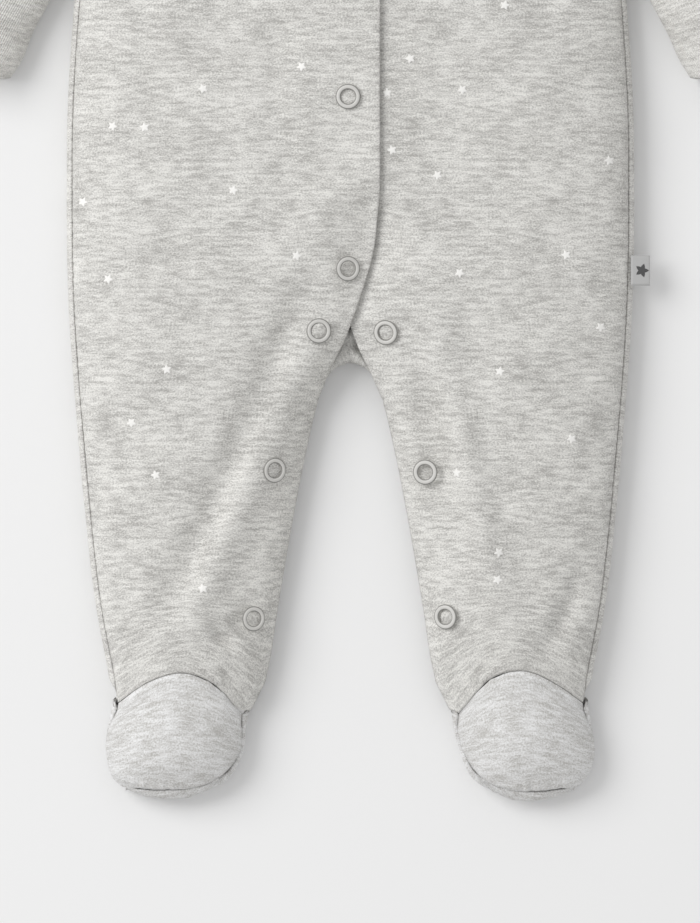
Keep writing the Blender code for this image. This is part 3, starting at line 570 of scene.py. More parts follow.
def snap_relief(points, side):
    """The cloth is pinched flat under each snap and bulges a little inside its ring."""
    total = np.zeros(len(points))
    for x, rise, front in SNAPS:
        if front != side:
            continue
        gap = np.linalg.norm(points - (x, rise), axis=1)
        dip = SNAP_DIP * np.exp(-(((gap - SNAP_DIP_RADIUS) / SNAP_DIP_REACH) ** 2))
        total += SNAP_BULGE * np.exp(-((gap / SNAP_BULGE_REACH) ** 2)) - dip
    return total


def top_relief(points, side):
    """Everything that is small on the top sheet of one half: softness, creases, seams, and snaps."""
    flap = mirrored(UPPER_FLAP if side == "right" else LOWER_FLAP, side)
    edge = np.concatenate([smooth_curve(flap, FLAP_RELIEF_POINTS), mirrored([(-PLACKET_EDGE, 470.0)], side)])
    rim = edge_distance(points, side)
    seams = [
        seam_relief(points, line, dip, reach, pucker, SEEDS["top"])
        for line, dip, reach, pucker in (
            (SIDE_SEAM[side], 0.9, 1.3, 0.12),
            (ANKLE_SEAM[side], 1.0, 1.2, 0.16),
            (ARMHOLE_SEAM[side], 0.9, 1.5, 0.12),
            (NECK_SEAM[side], 0.8, 1.3, 0.08),
            (CUFF_SEAM[side], 0.9, 1.2, 0.10),
            (TOE_SEAM[side], 1.3, 1.0, 0.16),
        )
    ]
    dips = np.min([dip for dip, _ in seams], axis=0)
    ripples = np.sum([ripple for _, ripple in seams], axis=0)
    total = (softness(points) + crease_relief(points)) * np.minimum(rim / RELIEF_FADE, 1)
    total += (dips + ripples) * smooth_step(rim, 0.0, SEAM_FADE)
    gap, place = nearest_on(points, edge)
    rolled = -EDGE_ROLL * np.exp(-((gap / 1.0) ** 2))
    total += rolled + EDGE_RIPPLE * np.sin(place / 3.1) * np.exp(-((gap / 5.0) ** 2))
    return total + snap_relief(points, side)


# The pieces of cloth, each as a fine grid of plan points.


def plan_rows(first, last, columns, low, high):
    """A plan grid of rows from one edge to the other, straight but for those that bend to meet its ends."""
    columns = columns[None, :, None]
    plan = first[:, None] + (last - first)[:, None] * columns
    near_low = 1 - smooth_step(first[:, 1], first[0, 1], BEND_LOW_RISE)
    near_high = smooth_step(first[:, 1], BEND_HIGH_RISE, first[-1, 1])
    bend_low = (low - plan[0])[None] * near_low[:, None, None]
    bend_high = (high - plan[-1])[None] * near_high[:, None, None]
    return plan + (bend_low + bend_high)


def plan_between(low, high, first, last, rows, columns):
    """A plan grid between the points of four edges: the lowest and highest row, the first and last column."""
    u = columns[None, :, None]
    v = rows[:, None, None]
    low, high, first, last = low[None], high[None], first[:, None], last[:, None]
    low_corners = (1 - u) * low[:, :1] + u * low[:, -1:]
    high_corners = (1 - u) * high[:, :1] + u * high[:, -1:]
    corners = (1 - v) * low_corners + v * high_corners
    return (1 - v) * low + v * high + (1 - u) * first + u * last - corners


def line_length(line):
    return np.linalg.norm(np.diff(line, axis=0), axis=1).sum()


def neck_points(side, front, width_step):
    """A line round one half of the neck, from the middle to the shoulder, this share of the neckband's width
    inside the neck seam. The front's starts past the middle, at the placket's edge."""
    half, drop, top = NECK_SIDE[0], FRONT_NECK_DROP if front else BACK_NECK_DROP, NECK_SIDE[1]
    start = -math.asin(PLACKET_EDGE / half) if front else 0.0
    angles = start + (math.pi / 2 - start) * NECK_U
    across = half - width_step * (half - SHOULDER_AND_SLEEVE[0][0])
    climb = (LENGTH - top) * width_step
    depth = drop - width_step * (BAND_WIDTH - (LENGTH - top))
    points = np.stack([across * np.sin(angles), top + climb - depth * np.cos(angles)], axis=1)
    return mirrored(points, side)


def shoulder_line(side, inset):
    """From the neck to the tip of the shoulder, this far inside the outline."""
    line = SLEEVE_TOP[side]
    stretch = line[(line[:, 1] < NECK_SIDE[1]) & (line[:, 1] > SHOULDER_TIP[1])]
    ends = mirrored([NECK_SIDE, SHOULDER_TIP], side)
    line = np.concatenate([ends[:1], stretch, ends[1:]])
    return shifted(line, -inset if side == "left" else inset)


def armhole_points(side, gap, shoulder_inset):
    """The armhole seam from the armpit up to the shoulder, moved towards the body by gap."""
    hand = HAND[side]
    line = shifted(smooth_curve(mirrored(ARMHOLE, side)), hand * gap)
    line[-1] = shoulder_line(side, shoulder_inset)[-1]
    return along(line, ARMHOLE_U)


def seam_points(side, line, columns, up):
    """Points along an ankle or heel seam, from the outer side in, moved up the leg by this much."""
    hand = HAND[side]
    return along(shifted(smooth_curve(mirrored(line, side), SEAM_POINTS), -hand * up), columns)


def ankle_columns():
    """Where the front's columns meet the vamp seam. Its last columns are past it, at the placket strip."""
    inner = FRONT_U[FRONT_U <= FRONT_COLUMNS[-2] + 1e-9]
    return inner / FRONT_COLUMNS[-2]


def leg_stations(side):
    """Points up one inner leg and the directions into the cloth there, ending at the middle of the crotch."""
    hand = HAND[side]
    line = LEG_LINE[side]
    edge = shifted(line, -hand * STRIP_INSET)
    inward = (edge - line) / STRIP_INSET
    at = np.interp([line[0, 1]] + LEG_ROWS, edge[:, 1], np.arange(len(line)))
    at[0] = 0
    at = finer(np.append(at, len(line) - 1), ROW_PARTS)
    line, inward = [
        np.stack([np.interp(at, np.arange(len(part)), part[:, k]) for k in range(2)], axis=1)
        for part in (line, inward)
    ]
    line[-1, 0] = inward[-1, 0] = 0.0
    return line, inward


def side_edge(side, offset, start):
    """The long outer edge of a front or back, from its ankle up to the armpit."""
    hand = HAND[side]
    line = shifted(SIDE_LINE[side], hand * offset)
    rises = finer([start[1]] + LEG_ROWS + [CROTCH_ROW] + SEAT_ROWS + [ARMHOLE[0][1]], ROW_PARTS)
    edge = at_rise(line, rises)
    edge[0] = start
    return edge[:-1]


def front_plan(side):
    """The plan of one front: rows from the ankle to the shoulder, columns from the side seam inwards."""
    inset = SIDE_SEAM_INSET + SEAM_GAP / 2
    flap = mirrored(UPPER_FLAP if side == "right" else LOWER_FLAP, side)
    leg = LEG_LINE[side]
    seam = seam_points(side, VAMP_SEAM[side], ankle_columns(), SEAM_GAP / 2)
    neck = neck_points(side, True, -NECK_GAP)
    shoulder = shoulder_line(side, inset)
    neck[-1] = shoulder[0]
    inner = np.concatenate([leg[leg[:, 1] < flap[0, 1]], smooth_curve(flap, FLAP_POINTS), neck[:1]])
    rises = finer([ANKLE_RISE] + LEG_ROWS + [CROTCH_ROW] + SEAT_ROWS + FRONT_MIDDLE + [neck[0, 1]], ROW_PARTS)
    outer_edge = np.concatenate([side_edge(side, -inset, seam[0]), armhole_points(side, SEAM_GAP / 2, inset)])
    inner_edge = np.concatenate([at_rise(inner, rises), neck[1:]])
    past = along(np.stack([seam[-1], inner_edge[0]]), np.linspace(0, 1, len(FRONT_U) - len(seam) + 1)[1:])
    high = along(shoulder[::-1], FRONT_U)
    return plan_rows(outer_edge, inner_edge, FRONT_U, np.concatenate([seam, past]), high)


def back_plan(side):
    """The plan of one half of the back: columns from the side seam in to the inner leg, then the middle."""
    roll = SIDE_SEAM_INSET - SEAM_GAP / 2
    line, inward = leg_stations(side)
    inner_leg = line + inward * STRIP_INSET
    seam = seam_points(side, HEEL_SEAM, BACK_U, SEAM_GAP / 2)
    neck = neck_points(side, False, -NECK_GAP)
    shoulder = shoulder_line(side, -roll)
    neck[-1] = shoulder[0]
    rises = finer([inner_leg[-1, 1]] + SEAT_ROWS + BACK_MIDDLE + [neck[0, 1]], ROW_PARTS)
    middle = np.stack([0 * rises, rises], axis=1)
    outer_edge = np.concatenate([side_edge(side, roll, seam[0]), armhole_points(side, SEAM_GAP / 2, -roll)])
    inner_edge = np.concatenate([seam[-1:], inner_leg[1:], middle[1:], neck[1:]])
    return plan_rows(outer_edge, inner_edge, BACK_U, seam, along(shoulder[::-1], BACK_U))


def toe_line(side, rolled):
    """The seam of vamp and sole round one foot. Rolled, it is where that seam lies in the sole's plan, past
    the outline."""
    return foot_edge(side, 0.0, -1 if rolled else 1)


def foot_edge(side, gap, sign):
    """A line round one foot, inside its outline by this gap and by the seam's inset times this sign."""
    steps = np.linspace(0, 1, FOOT_LINE_STEPS * FOOT_FINENESS)
    inset = gap + sign * np.interp(steps, *np.array(FOOT_SEAM).T)
    return shifted(along(FOOT_LINE[side], steps), (-HAND[side] * inset)[:, None])


def foot_plan(side, vamp):
    """The plan of a vamp or a sole, from the toes up to the ankle or heel."""
    edge = foot_edge(side, SEAM_GAP / 2, 1 if vamp else -1)
    columns = ankle_columns() if vamp else BACK_U
    seam = seam_points(side, VAMP_SEAM[side] if vamp else HEEL_SEAM, columns, -SEAM_GAP / 2)
    edge[0], edge[-1] = seam[0], seam[-1]
    start, end = TOE_START * FOOT_FINENESS, TOE_END * FOOT_FINENESS
    first, toe, last = edge[start::-1], edge[start : end + 1], edge[end:]
    return plan_between(along(toe, columns), seam, along(first, FOOT_U), along(last, FOOT_U), FOOT_U, columns)


def sleeve_plans(side):
    """The plans of sleeve and cuff: rows from the armhole down, columns from the lower edge to the upper."""
    upper, lower = SLEEVE_TOP[side], SLEEVE_UNDER[side][::-1]
    tip = mirrored([SHOULDER_TIP], side)
    upper = np.concatenate([tip, upper[upper[:, 1] < SHOULDER_TIP[1]]])
    outward = mirrored([(1.0, 0.0)], side)[0]
    columns = ARMHOLE_U
    armhole = along(smooth_curve(mirrored(ARMHOLE, side)), columns) + outward * SEAM_GAP / 2
    seam = [1 - CUFF_LENGTH / line_length(line) for line in (upper, lower)]
    down = np.linspace(0, 1, SLEEVE_STEPS)
    first, last = along(lower, down * seam[1]), along(upper, down * seam[0])
    first[0], last[0] = armhole[0], armhole[-1]
    end = first[-1] + (last[-1] - first[-1]) * columns[:, None]
    sleeve = plan_between(armhole, end, first, last, down, columns)
    steps = np.linspace(0, 1, CUFF_STEPS)
    reach = (SEAM_GAP + (CUFF_LENGTH - SEAM_GAP) * steps) / CUFF_LENGTH
    lower_part = along(lower, seam[1] + (1 - seam[1]) * reach)
    upper_part = along(upper, seam[0] + (1 - seam[0]) * reach)
    axis = (upper_part[-1] - upper_part[0]) + (lower_part[-1] - lower_part[0])
    axis /= np.linalg.norm(axis)
    bow = CUFF_BOW * np.sin(math.pi * columns) ** CUFF_BLUNTNESS
    cuff = lower_part[:, None] + (upper_part - lower_part)[:, None] * columns[None, :, None]
    cuff += (steps[:, None] * bow[None])[..., None] * axis
    return sleeve, cuff


def lift_of_upper_front(points):
    """How far the upper front lies above the top sheet, at plan points."""
    x, rise = points[:, 0], points[:, 1]
    near = LIFT_AT_OVERLAP * smooth_step(x, LIFT_START, -PLACKET_EDGE - 3)
    edge = (LIFT_AT_EDGE - LIFT_AT_OVERLAP) * smooth_step(x, -PLACKET_EDGE, PLACKET_EDGE)
    return (near + edge) * smooth_step(rise, LIFT_LOW_RISE, LIFT_FULL_RISE)


# The main seams in plan, which draw the cloth down on both of their sides.
SIDE_SEAM = {s: shifted(SIDE_LINE[s], -HAND[s] * SIDE_SEAM_INSET)[::2] for s in SIDES}
ANKLE_SEAM = {s: smooth_curve(mirrored(VAMP_SEAM[s], s), SEAM_RELIEF_POINTS) for s in SIDES}
HEEL_LINE = {s: smooth_curve(mirrored(HEEL_SEAM, s), SEAM_RELIEF_POINTS) for s in SIDES}
ARMHOLE_SEAM = {s: smooth_curve(mirrored(ARMHOLE, s), SEAM_RELIEF_POINTS) for s in SIDES}
NECK_SEAM = {s: neck_points(s, True, 0.0)[::3] for s in SIDES}
NECK_SEAM_BACK = {s: neck_points(s, False, 0.0)[::3] for s in SIDES}
TOE_SEAM = {s: toe_line(s, False)[::6] for s in SIDES}
CUFF_SEAM = {s: sleeve_plans(s)[0][-1, ::6] for s in SIDES}


# Turning grids into cloth.


def cloth_places(points):
    """For each point of a grid, its place in the cloth: how far along the course and up the wale it lies."""
    across = np.linalg.norm(np.diff(points, axis=1), axis=2)
    u = np.concatenate([np.zeros((len(points), 1)), np.cumsum(across, axis=1)], axis=1)
    u -= u[:, u.shape[1] // 2][:, None]
    centre = points.mean(axis=1)
    v = np.concatenate([[0.0], np.cumsum(np.linalg.norm(np.diff(centre, axis=0), axis=1))])
    return np.stack([u, np.broadcast_to(v[:, None], u.shape), np.zeros_like(u)], axis=2)


def refined(nodes, row_parts, column_parts):
    """A grid with straight lines between its points, each step split into parts."""
    rows = np.array([finer(column, row_parts) for column in nodes.transpose(1, 2, 0).reshape(-1, len(nodes))])
    rows = rows.reshape(nodes.shape[1], nodes.shape[2], -1).transpose(2, 0, 1)
    rows_apart = rows.transpose(0, 2, 1).reshape(-1, nodes.shape[1])
    columns = np.array([finer(row, column_parts) for row in rows_apart])
    return columns.reshape(len(rows), nodes.shape[2], -1).transpose(0, 2, 1)


def moved_out(points, out, sign, row_parts, column_parts, calm_columns):
    """A grid moved out by its relief. Near its corners, where the outline turns sharply, it is straight
    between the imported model's own points instead."""
    fine = points + grid_normals(points) * sign * out[..., None]
    nodes = points[::row_parts, ::column_parts]
    nodes = nodes + grid_normals(nodes) * sign * out[::row_parts, ::column_parts, None]
    rows, columns = (np.arange(n) for n in points.shape[:2])
    from_end = np.minimum(rows, rows[::-1]) / row_parts
    from_side = np.minimum(columns, columns[::-1]) / column_parts
    calm = 1 - smooth_step(from_end, 1.0, 2.0)[:, None]
    calm = (calm * (1 - smooth_step(from_side, calm_columns, calm_columns + 1.0)))[..., None]
    moved = fine * (1 - calm) + refined(nodes, row_parts, column_parts) * calm
    return pressed(moved)


def pressed(points):
    """Points kept from going below the surface that the suit lies on."""
    return np.stack([points[..., 0], points[..., 1], np.maximum(points[..., 2], 0.0)], axis=-1)


def relieved(plan, sheet, relief, sign, parts, lift=None):
    """A fine grid on its sheet, moved out by its relief and its lift, and its places in the cloth."""
    points = draped(plan, sheet)
    flat = plan.reshape(-1, 2)
    out = (relief(flat) + (lift(flat) if lift else 0.0)).reshape(plan.shape[:2])
    return moved_out(points, out, sign, *parts, CALM_COLUMNS), cloth_places(points)


def add_cloth(name, grids, finish, wall, ring=False):
    """One piece of cloth from its grids: their points, places in the cloth, and whether they are flipped."""
    shape = bmesh.new()
    layer = shape.verts.layers.float_vector.new("cloth")
    for points, places, flip in grids:
        rows, columns = points.shape[:2]
        made = []
        for point, place in zip(points.reshape(-1, 3) * MM, places.reshape(-1, 3)):
            vertex = shape.verts.new(point)
            vertex[layer] = Vector(place)
            made.append(vertex)
        for i in range(rows - 1):
            for j in range(columns if ring else columns - 1):
                k = (j + 1) % columns
                face = [i * columns + j, i * columns + k, (i + 1) * columns + k, (i + 1) * columns + j]
                shape.faces.new([made[v] for v in (reversed(face) if flip else face)])
    bmesh.ops.remove_doubles(shape, verts=shape.verts, dist=0.01 * MM)
    piece = piece_of(shape, name, finish)
    thickness = piece.modifiers.new("wall", "SOLIDIFY")
    thickness.thickness = wall * MM
    thickness.offset = -1.0
    return piece


def piece_of(shape, name, finish, smooth=True):
    """Puts a bmesh in the scene as a piece of the suit, with its material."""
    mesh = bpy.data.meshes.new(name)
    shape.to_mesh(mesh)
    shape.free()
    if smooth:
        mesh.shade_smooth()
    mesh.materials.append(finish)
    piece = bpy.data.objects.new(name, mesh)
    bpy.context.scene.collection.objects.link(piece)
    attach(piece, "root")
    return piece


def laid(piece, *nodes):
    """Hides these nodes of the imported model, for which the piece of cloth stands."""
    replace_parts(piece, *nodes)


def build_fronts(jersey):
    for side in SIDES:
        lift = lift_of_upper_front if side == "right" else None
        relief = partial(top_relief, side=side)
        grid = relieved(front_plan(side), "top", relief, HAND[side], FRONT_PARTS, lift)
        laid(add_cloth("suit_front_" + side, [(*grid, side == "left")], jersey, WALL), "front_" + side)


def under_relief(points, side):
    """The back's and soles' small relief: they are drawn in at their seams."""
    rolled_edge = shifted(SIDE_LINE[side], HAND[side] * SIDE_SEAM_INSET)[::2]
    rolled_toe = toe_line(side, True)[::6]
    total = np.zeros(len(points))
    for line in (HEEL_LINE[side], NECK_SEAM_BACK[side], rolled_edge, rolled_toe):
        dip, ripple = seam_relief(points, line, *UNDER_DRAW, SEEDS["under"])
        total = np.minimum(total, dip) + ripple
    return total * smooth_step(edge_distance(points, side), 0.0, 3.0)


def build_back(jersey):
    grids = []
    for side in SIDES:
        grid = relieved(back_plan(side), "under", partial(under_relief, side=side), -HAND[side], BACK_PARTS)
        grids.append((*grid, side == "right"))
    laid(add_cloth("suit_back", grids, jersey, WALL), "back")


def build_feet(jersey):
    for side in SIDES:
        hand = HAND[side]
        vamp = relieved(foot_plan(side, True), "top", partial(top_relief, side=side), hand, VAMP_PARTS)
        laid(add_cloth("foot_top_" + side, [(*vamp, side == "left")], jersey, WALL), "vamp_" + side)
        sole = relieved(foot_plan(side, False), "under", partial(under_relief, side=side), -hand, SOLE_PARTS)
        laid(add_cloth("foot_sole_" + side, [(*sole, side == "right")], jersey, WALL), "sole_" + side)


def tube(plan, side, relief):
    """A ring grid round a flat tube: across the top sheet and back across the under sheet."""
    rows, columns = plan.shape[:2]
    flat = plan.reshape(-1, 2)
    top = on_sheet(flat, True).reshape(rows, columns, 3)
    under = on_sheet(flat, False).reshape(rows, columns, 3)
    points = np.concatenate([top, under[:, -2:0:-1]], axis=1)
    around = np.roll(points, -1, axis=1) - np.roll(points, 1, axis=1)
    normals = np.cross(around, np.gradient(points, axis=0)) * -HAND[side]
    normals /= np.maximum(np.linalg.norm(normals, axis=2), 1e-9)[..., None]
    out = relief(flat).reshape(rows, columns)
    out = np.concatenate([out, out[:, -2:0:-1] * 0.3], axis=1)
    places = cloth_places(top)
    places = np.concatenate([places, places[:, -2:0:-1]], axis=1)
    return pressed(points + normals * out[..., None]), places, side == "left"


def cuff_relief(points, side):
    """The cuff puckers at its seam and rounds off at its folded mouth."""
    dip, ripple = seam_relief(points, CUFF_SEAM[side], *CUFF_DRAW, SEEDS["cuff"])
    return dip + ripple + 0.5 * softness(points)


def build_sleeves(jersey, rib):
    for side in SIDES:
        sleeve, cuff = sleeve_plans(side)
        grid = tube(sleeve, side, partial(top_relief, side=side))
        laid(add_cloth("sleeve_cloth_" + side, [grid], jersey, WALL, ring=True), "sleeve_" + side)
        grid = tube(cuff, side, partial(cuff_relief, side=side))
        laid(add_cloth("cuff_cloth_" + side, [grid], rib, BAND_WALL, ring=True), "cuff_" + side)


def build_strip(jersey):
    """The placket strip, from ankle to ankle round the crotch."""
    (right, right_in), (left, left_in) = leg_stations("right"), leg_stations("left")
    line = np.concatenate([right, left[-2::-1]])
    inward = np.concatenate([right_in, left_in[-2::-1]])
    across = finer(STRIP_COLUMNS, STRIP_PARTS)
    plan = line[:, None] + inward[:, None] * np.abs(across)[None, :, None]
    top = np.broadcast_to(across > 0, plan.shape[:2]).ravel()
    points = on_sheet(plan.reshape(-1, 2), top).reshape(*plan.shape[:2], 3)
    depth = STRIP_DEPTH * smooth_step(points[..., 2], 0.3, 6.0)
    for side, flap in (("right", UPPER_FLAP), ("left", LOWER_FLAP)):
        edge = smooth_curve(mirrored(flap, side), GROOVE_POINTS)
        gap = nearest_on(plan.reshape(-1, 2), edge)[0].reshape(depth.shape)
        groove = STRIP_GROOVE * np.exp(-((gap / STRIP_GROOVE_REACH) ** 2))
        depth = depth + groove * (points[..., 2] > 6.0)
    grid = moved_out(points, depth, -1, ROW_PARTS, STRIP_PARTS, len(STRIP_COLUMNS))
    laid(add_cloth("placket_strip", [(grid, cloth_places(grid), True)], jersey, WALL), "crotch_strip")


def build_neckband(rib):
    grids, places = [], []
    for side, front in (("right", True), ("right", False), ("left", False), ("left", True)):
        plan = np.stack([neck_points(side, front, w) for w in np.linspace(NECK_GAP, 1, BAND_STEPS)], axis=1)
        plan = plan if (side == "right") == front else plan[::-1]
        plan = plan if not grids else plan[1:]
        points = draped(plan, "top" if front else "under")
        if not grids:
            lift = BAND_LIFT * lift_of_upper_front(plan.reshape(-1, 2)).reshape(*plan.shape[:2], 1)
            points = points + facing(plan, "top") * lift
        grids.append(points)
    points = np.concatenate(grids)
    laid(add_cloth("neckband_rib", [(points, cloth_places(points), False)], rib, BAND_WALL), "neckband")


# Small things that lie on the cloth.


def front_skin(side, plan):
    """Points on the outer face of a front, and the directions out of it there, at plan points."""
    flat = np.array(plan, float).reshape(-1, 2)
    lift = lift_of_upper_front(flat) if side == "right" else 0.0
    normals = facing(flat[None], "top")[0]
    points = draped(flat[None], "top")[0]
    return points + normals * (top_relief(flat, side) + lift)[:, None], normals


def star_spokes(radius):
    """Plan points round a five-pointed star with rounded tips, and its outline's radius at each."""
    angles = np.linspace(0, 2 * math.pi, STAR_SIDES, endpoint=False)
    petal = np.abs(((5 * angles / (2 * math.pi) + 0.5) % 1.0) - 0.5) * 2
    reach = radius * (1 - 0.5 * petal**0.75)
    return reach[:, None] * np.stack([np.cos(angles), np.sin(angles)], axis=1)


def build_stars(ink):
    """Raised stars printed in a rubbery ink. All those of one front are one piece."""
    random = np.random.default_rng(SEEDS["stars"])
    spokes = star_spokes(STAR_RADIUS)
    rings = np.concatenate([share * spokes for share, _ in STAR_PROFILE] + [[(0.0, 0.0)]])
    heights = np.append(np.repeat([height for _, height in STAR_PROFILE], STAR_SIDES), STAR_PROFILE[-1][1])
    for side in SIDES:
        middles = np.array(STARS[side] + CHEST_STARS[side])
        turns = random.uniform(0, 2 * math.pi, len(middles))
        cos, sin = np.cos(turns), np.sin(turns)
        turned = np.einsum("nij,pj->npi", np.array([[cos, -sin], [sin, cos]]).transpose(2, 0, 1), rings)
        points, normals = front_skin(side, (turned + middles[:, None]).reshape(-1, 2))
        points = (points + normals * np.tile(heights, len(middles))[:, None]).reshape(len(middles), -1, 3)
        shape = bmesh.new()
        for star in points:
            made = [shape.verts.new(point) for point in star * MM]
            for ring in range(len(STAR_PROFILE) - 1):
                low = made[ring * STAR_SIDES : (ring + 1) * STAR_SIDES]
                high = made[(ring + 1) * STAR_SIDES : (ring + 2) * STAR_SIDES]
                for i in range(STAR_SIDES):
                    k = (i + 1) % STAR_SIDES
                    shape.faces.new([low[i], low[k], high[k], high[i]])
            for i in range(STAR_SIDES):
                shape.faces.new([high[i], high[(i + 1) % STAR_SIDES], made[-1]])
            shape.faces.new(list(reversed(made[:STAR_SIDES])))
        piece_of(shape, "stars_" + side, ink)


def snap_place(node):
    """The middle of a snap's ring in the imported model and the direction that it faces."""
    points = np.array([v.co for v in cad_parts[node].data.vertices])
    middle = points.mean(axis=0)
    up = np.linalg.svd(points - middle)[2][2]
    return middle / MM, up * np.sign(up[2])


def build_snaps(enamel, rim):
    """Ring snaps: enamelled rings turned from their profile, each in its node's place. Their inner and outer
    edges are dark, partly bare metal and partly painted shade of the crevice against the cloth.
    """
    for number in range(1, len(SNAPS) + 1):
        node = f"snap_{number:02d}"
        middle, up = snap_place(node)
        across = np.cross((0.0, 1.0, 0.0), up)
        across /= np.linalg.norm(across)
        lengthways = np.cross(up, across)
        shape = bmesh.new()
        angles = np.linspace(0, 2 * math.pi, RING_SIDES, endpoint=False)[:, None]
        spokes = np.cos(angles) * across + np.sin(angles) * lengthways
        rings = [
            [shape.verts.new((middle + p + up * height) * MM) for p in radius * spokes]
            for radius, height in RING_PROFILE
        ]
        for step, (low, high) in enumerate(zip(rings, rings[1:] + rings[:1])):
            for i in range(RING_SIDES):
                k = (i + 1) % RING_SIDES
                face = shape.faces.new([low[i], low[k], high[k], high[i]])
                # Painted shade: the edge steps, at the crevices against the cloth, take the dark second
                # material.
                face.material_index = 1 if step in RING_EDGE_SHADE_STEPS else 0
        bmesh.ops.recalc_face_normals(shape, faces=shape.faces)
        ring = piece_of(shape, "ring_" + node, enamel)
        ring.data.materials.append(rim)
        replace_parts(ring, node)


def build_label(tape, ink):
    """A tape folded in two, whose raw ends are caught in the side seam."""
    low, high = (np.array(corner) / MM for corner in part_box("side_label"))
    shape = bmesh.new()
    layer = shape.verts.layers.float_vector.new("cloth")
    bends = np.linspace(-math.pi / 2, math.pi / 2, LABEL_STEPS)
    half = LABEL_WALL / 2
    length = high[0] - low[0] - half
    drop = (high[2] - low[2] - LABEL_WALL) / length
    top = [(share * length, half) for share in np.linspace(0, 1, LABEL_STEPS)]
    fold = [(length + half * math.cos(a), half * math.sin(a)) for a in bends[::-1]]
    bottom = [(share * length, -half) for share in np.linspace(1, 0, LABEL_STEPS)]
    profile = top + fold[1:-1] + bottom
    rows = []
    for y in np.linspace(low[1], high[1], LABEL_ROWS):
        row = []
        for reach, height in profile:
            vertex = shape.verts.new(Vector((low[0] + reach, y, high[2] - half - drop * reach + height)) * MM)
            vertex[layer] = Vector((y, reach, height))
            row.append(vertex)
        rows.append(row)
    for low_row, high_row in zip(rows[:-1], rows[1:]):
        for i in range(len(profile)):
            k = (i + 1) % len(profile)
            shape.faces.new([low_row[i], low_row[k], high_row[k], high_row[i]])
    shape.faces.new(list(reversed(rows[0])))
    shape.faces.new(rows[-1])
    bmesh.ops.recalc_face_normals(shape, faces=shape.faces)
    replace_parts(piece_of(shape, "label_tab", tape), "side_label")

    middle = np.array([low[0] + length * LABEL_STAR_PLACE, (low[1] + high[1]) / 2])
    spokes = star_spokes(LABEL_STAR_RADIUS) + middle
    levels = high[2] - drop * (spokes[:, 0] - low[0])
    shape = bmesh.new()
    rings = [
        [shape.verts.new(Vector((*spoke, level + up)) * MM) for spoke, level in zip(spokes, levels)]
        for up in LABEL_STAR_LEVELS
    ]
    for i in range(STAR_SIDES):
        k = (i + 1) % STAR_SIDES
        shape.faces.new([rings[0][i], rings[0][k], rings[1][k], rings[1][i]])
    shape.faces.new(rings[1])
    shape.faces.new(list(reversed(rings[0])))
    piece_of(shape, "label_star", ink, smooth=False)


# Materials.


class Nodes:
    """Short ways to add nodes to one material."""

    def __init__(self, name, roughness, sheen=0.0, specular=0.3):
        self.material = bpy.data.materials.new(name)
        self.material.use_nodes = True
        self.tree = self.material.node_tree
        self.shader = self.tree.nodes["Principled BSDF"]
        self.shader.inputs["Roughness"].default_value = roughness
        self.shader.inputs["Sheen Weight"].default_value = sheen
        self.shader.inputs["Specular IOR Level"].default_value = specular

    def put(self, socket, value):
        if isinstance(value, bpy.types.NodeSocket):
            self.tree.links.new(value, socket)
        elif value is not None:
            socket.default_value = value

    def math(self, operation, a, b=None, c=None):
        node = self.tree.nodes.new("ShaderNodeMath")
        node.operation = operation
        for socket, value in zip(node.inputs, (a, b, c)):
            self.put(socket, value)
        return node.outputs[0]

    def cloth(self):
        """The point's place in the cloth, in millimetres: u along the course, v up the wale."""
        place = self.tree.nodes.new("ShaderNodeAttribute")
        place.attribute_name = "cloth"
        return place.outputs["Vector"]

    def scaled(self, vector, factors):
        node = self.tree.nodes.new("ShaderNodeVectorMath")
        node.operation = "MULTIPLY"
        self.put(node.inputs[0], vector)
        node.inputs[1].default_value = factors
        return node.outputs[0]

    def noise(self, vector, detail=2.0, roughness=0.5):
        node = self.tree.nodes.new("ShaderNodeTexNoise")
        node.inputs["Scale"].default_value = 1.0
        node.inputs["Detail"].default_value = detail
        node.inputs["Roughness"].default_value = roughness
        self.put(node.inputs["Vector"], vector)
        return node.outputs["Fac"]

    def ramp(self, value, low, high, dark, light):
        """The colour dark where value is low, and light where it is high."""
        node = self.tree.nodes.new("ShaderNodeValToRGB")
        node.color_ramp.elements[0].position = low
        node.color_ramp.elements[1].position = high
        node.color_ramp.elements[0].color = (*dark, 1.0)
        node.color_ramp.elements[1].color = (*light, 1.0)
        self.put(node.inputs["Fac"], value)
        self.put(self.shader.inputs["Base Color"], node.outputs["Color"])

    def bump(self, height, distance):
        node = self.tree.nodes.new("ShaderNodeBump")
        node.inputs["Strength"].default_value = 1.0
        node.inputs["Distance"].default_value = distance * MM
        self.put(node.inputs["Height"], height)
        self.put(self.shader.inputs["Normal"], node.outputs["Normal"])


def heather(nodes, place):
    """How light the heather yarn is: streaks along the courses, fine specks, and wide faint clouds."""
    streaks, specks, clouds = (
        nodes.noise(nodes.scaled(place, (1 / size[0], 1 / size[1], 1.0)), detail, roughness)
        for size, detail, roughness in (
            (STREAK_SIZE, 3.0, 0.62),
            (SPECK_SIZE, 1.0, 0.7),
            (CLOUD_SIZE, 1.0, 0.5),
        )
    )
    light = nodes.math("MULTIPLY", streaks, STREAK_SHARE)
    light = nodes.math("MULTIPLY_ADD", specks, SPECK_SHARE, light)
    return nodes.math("MULTIPLY_ADD", clouds, 1 - STREAK_SHARE - SPECK_SHARE, light)


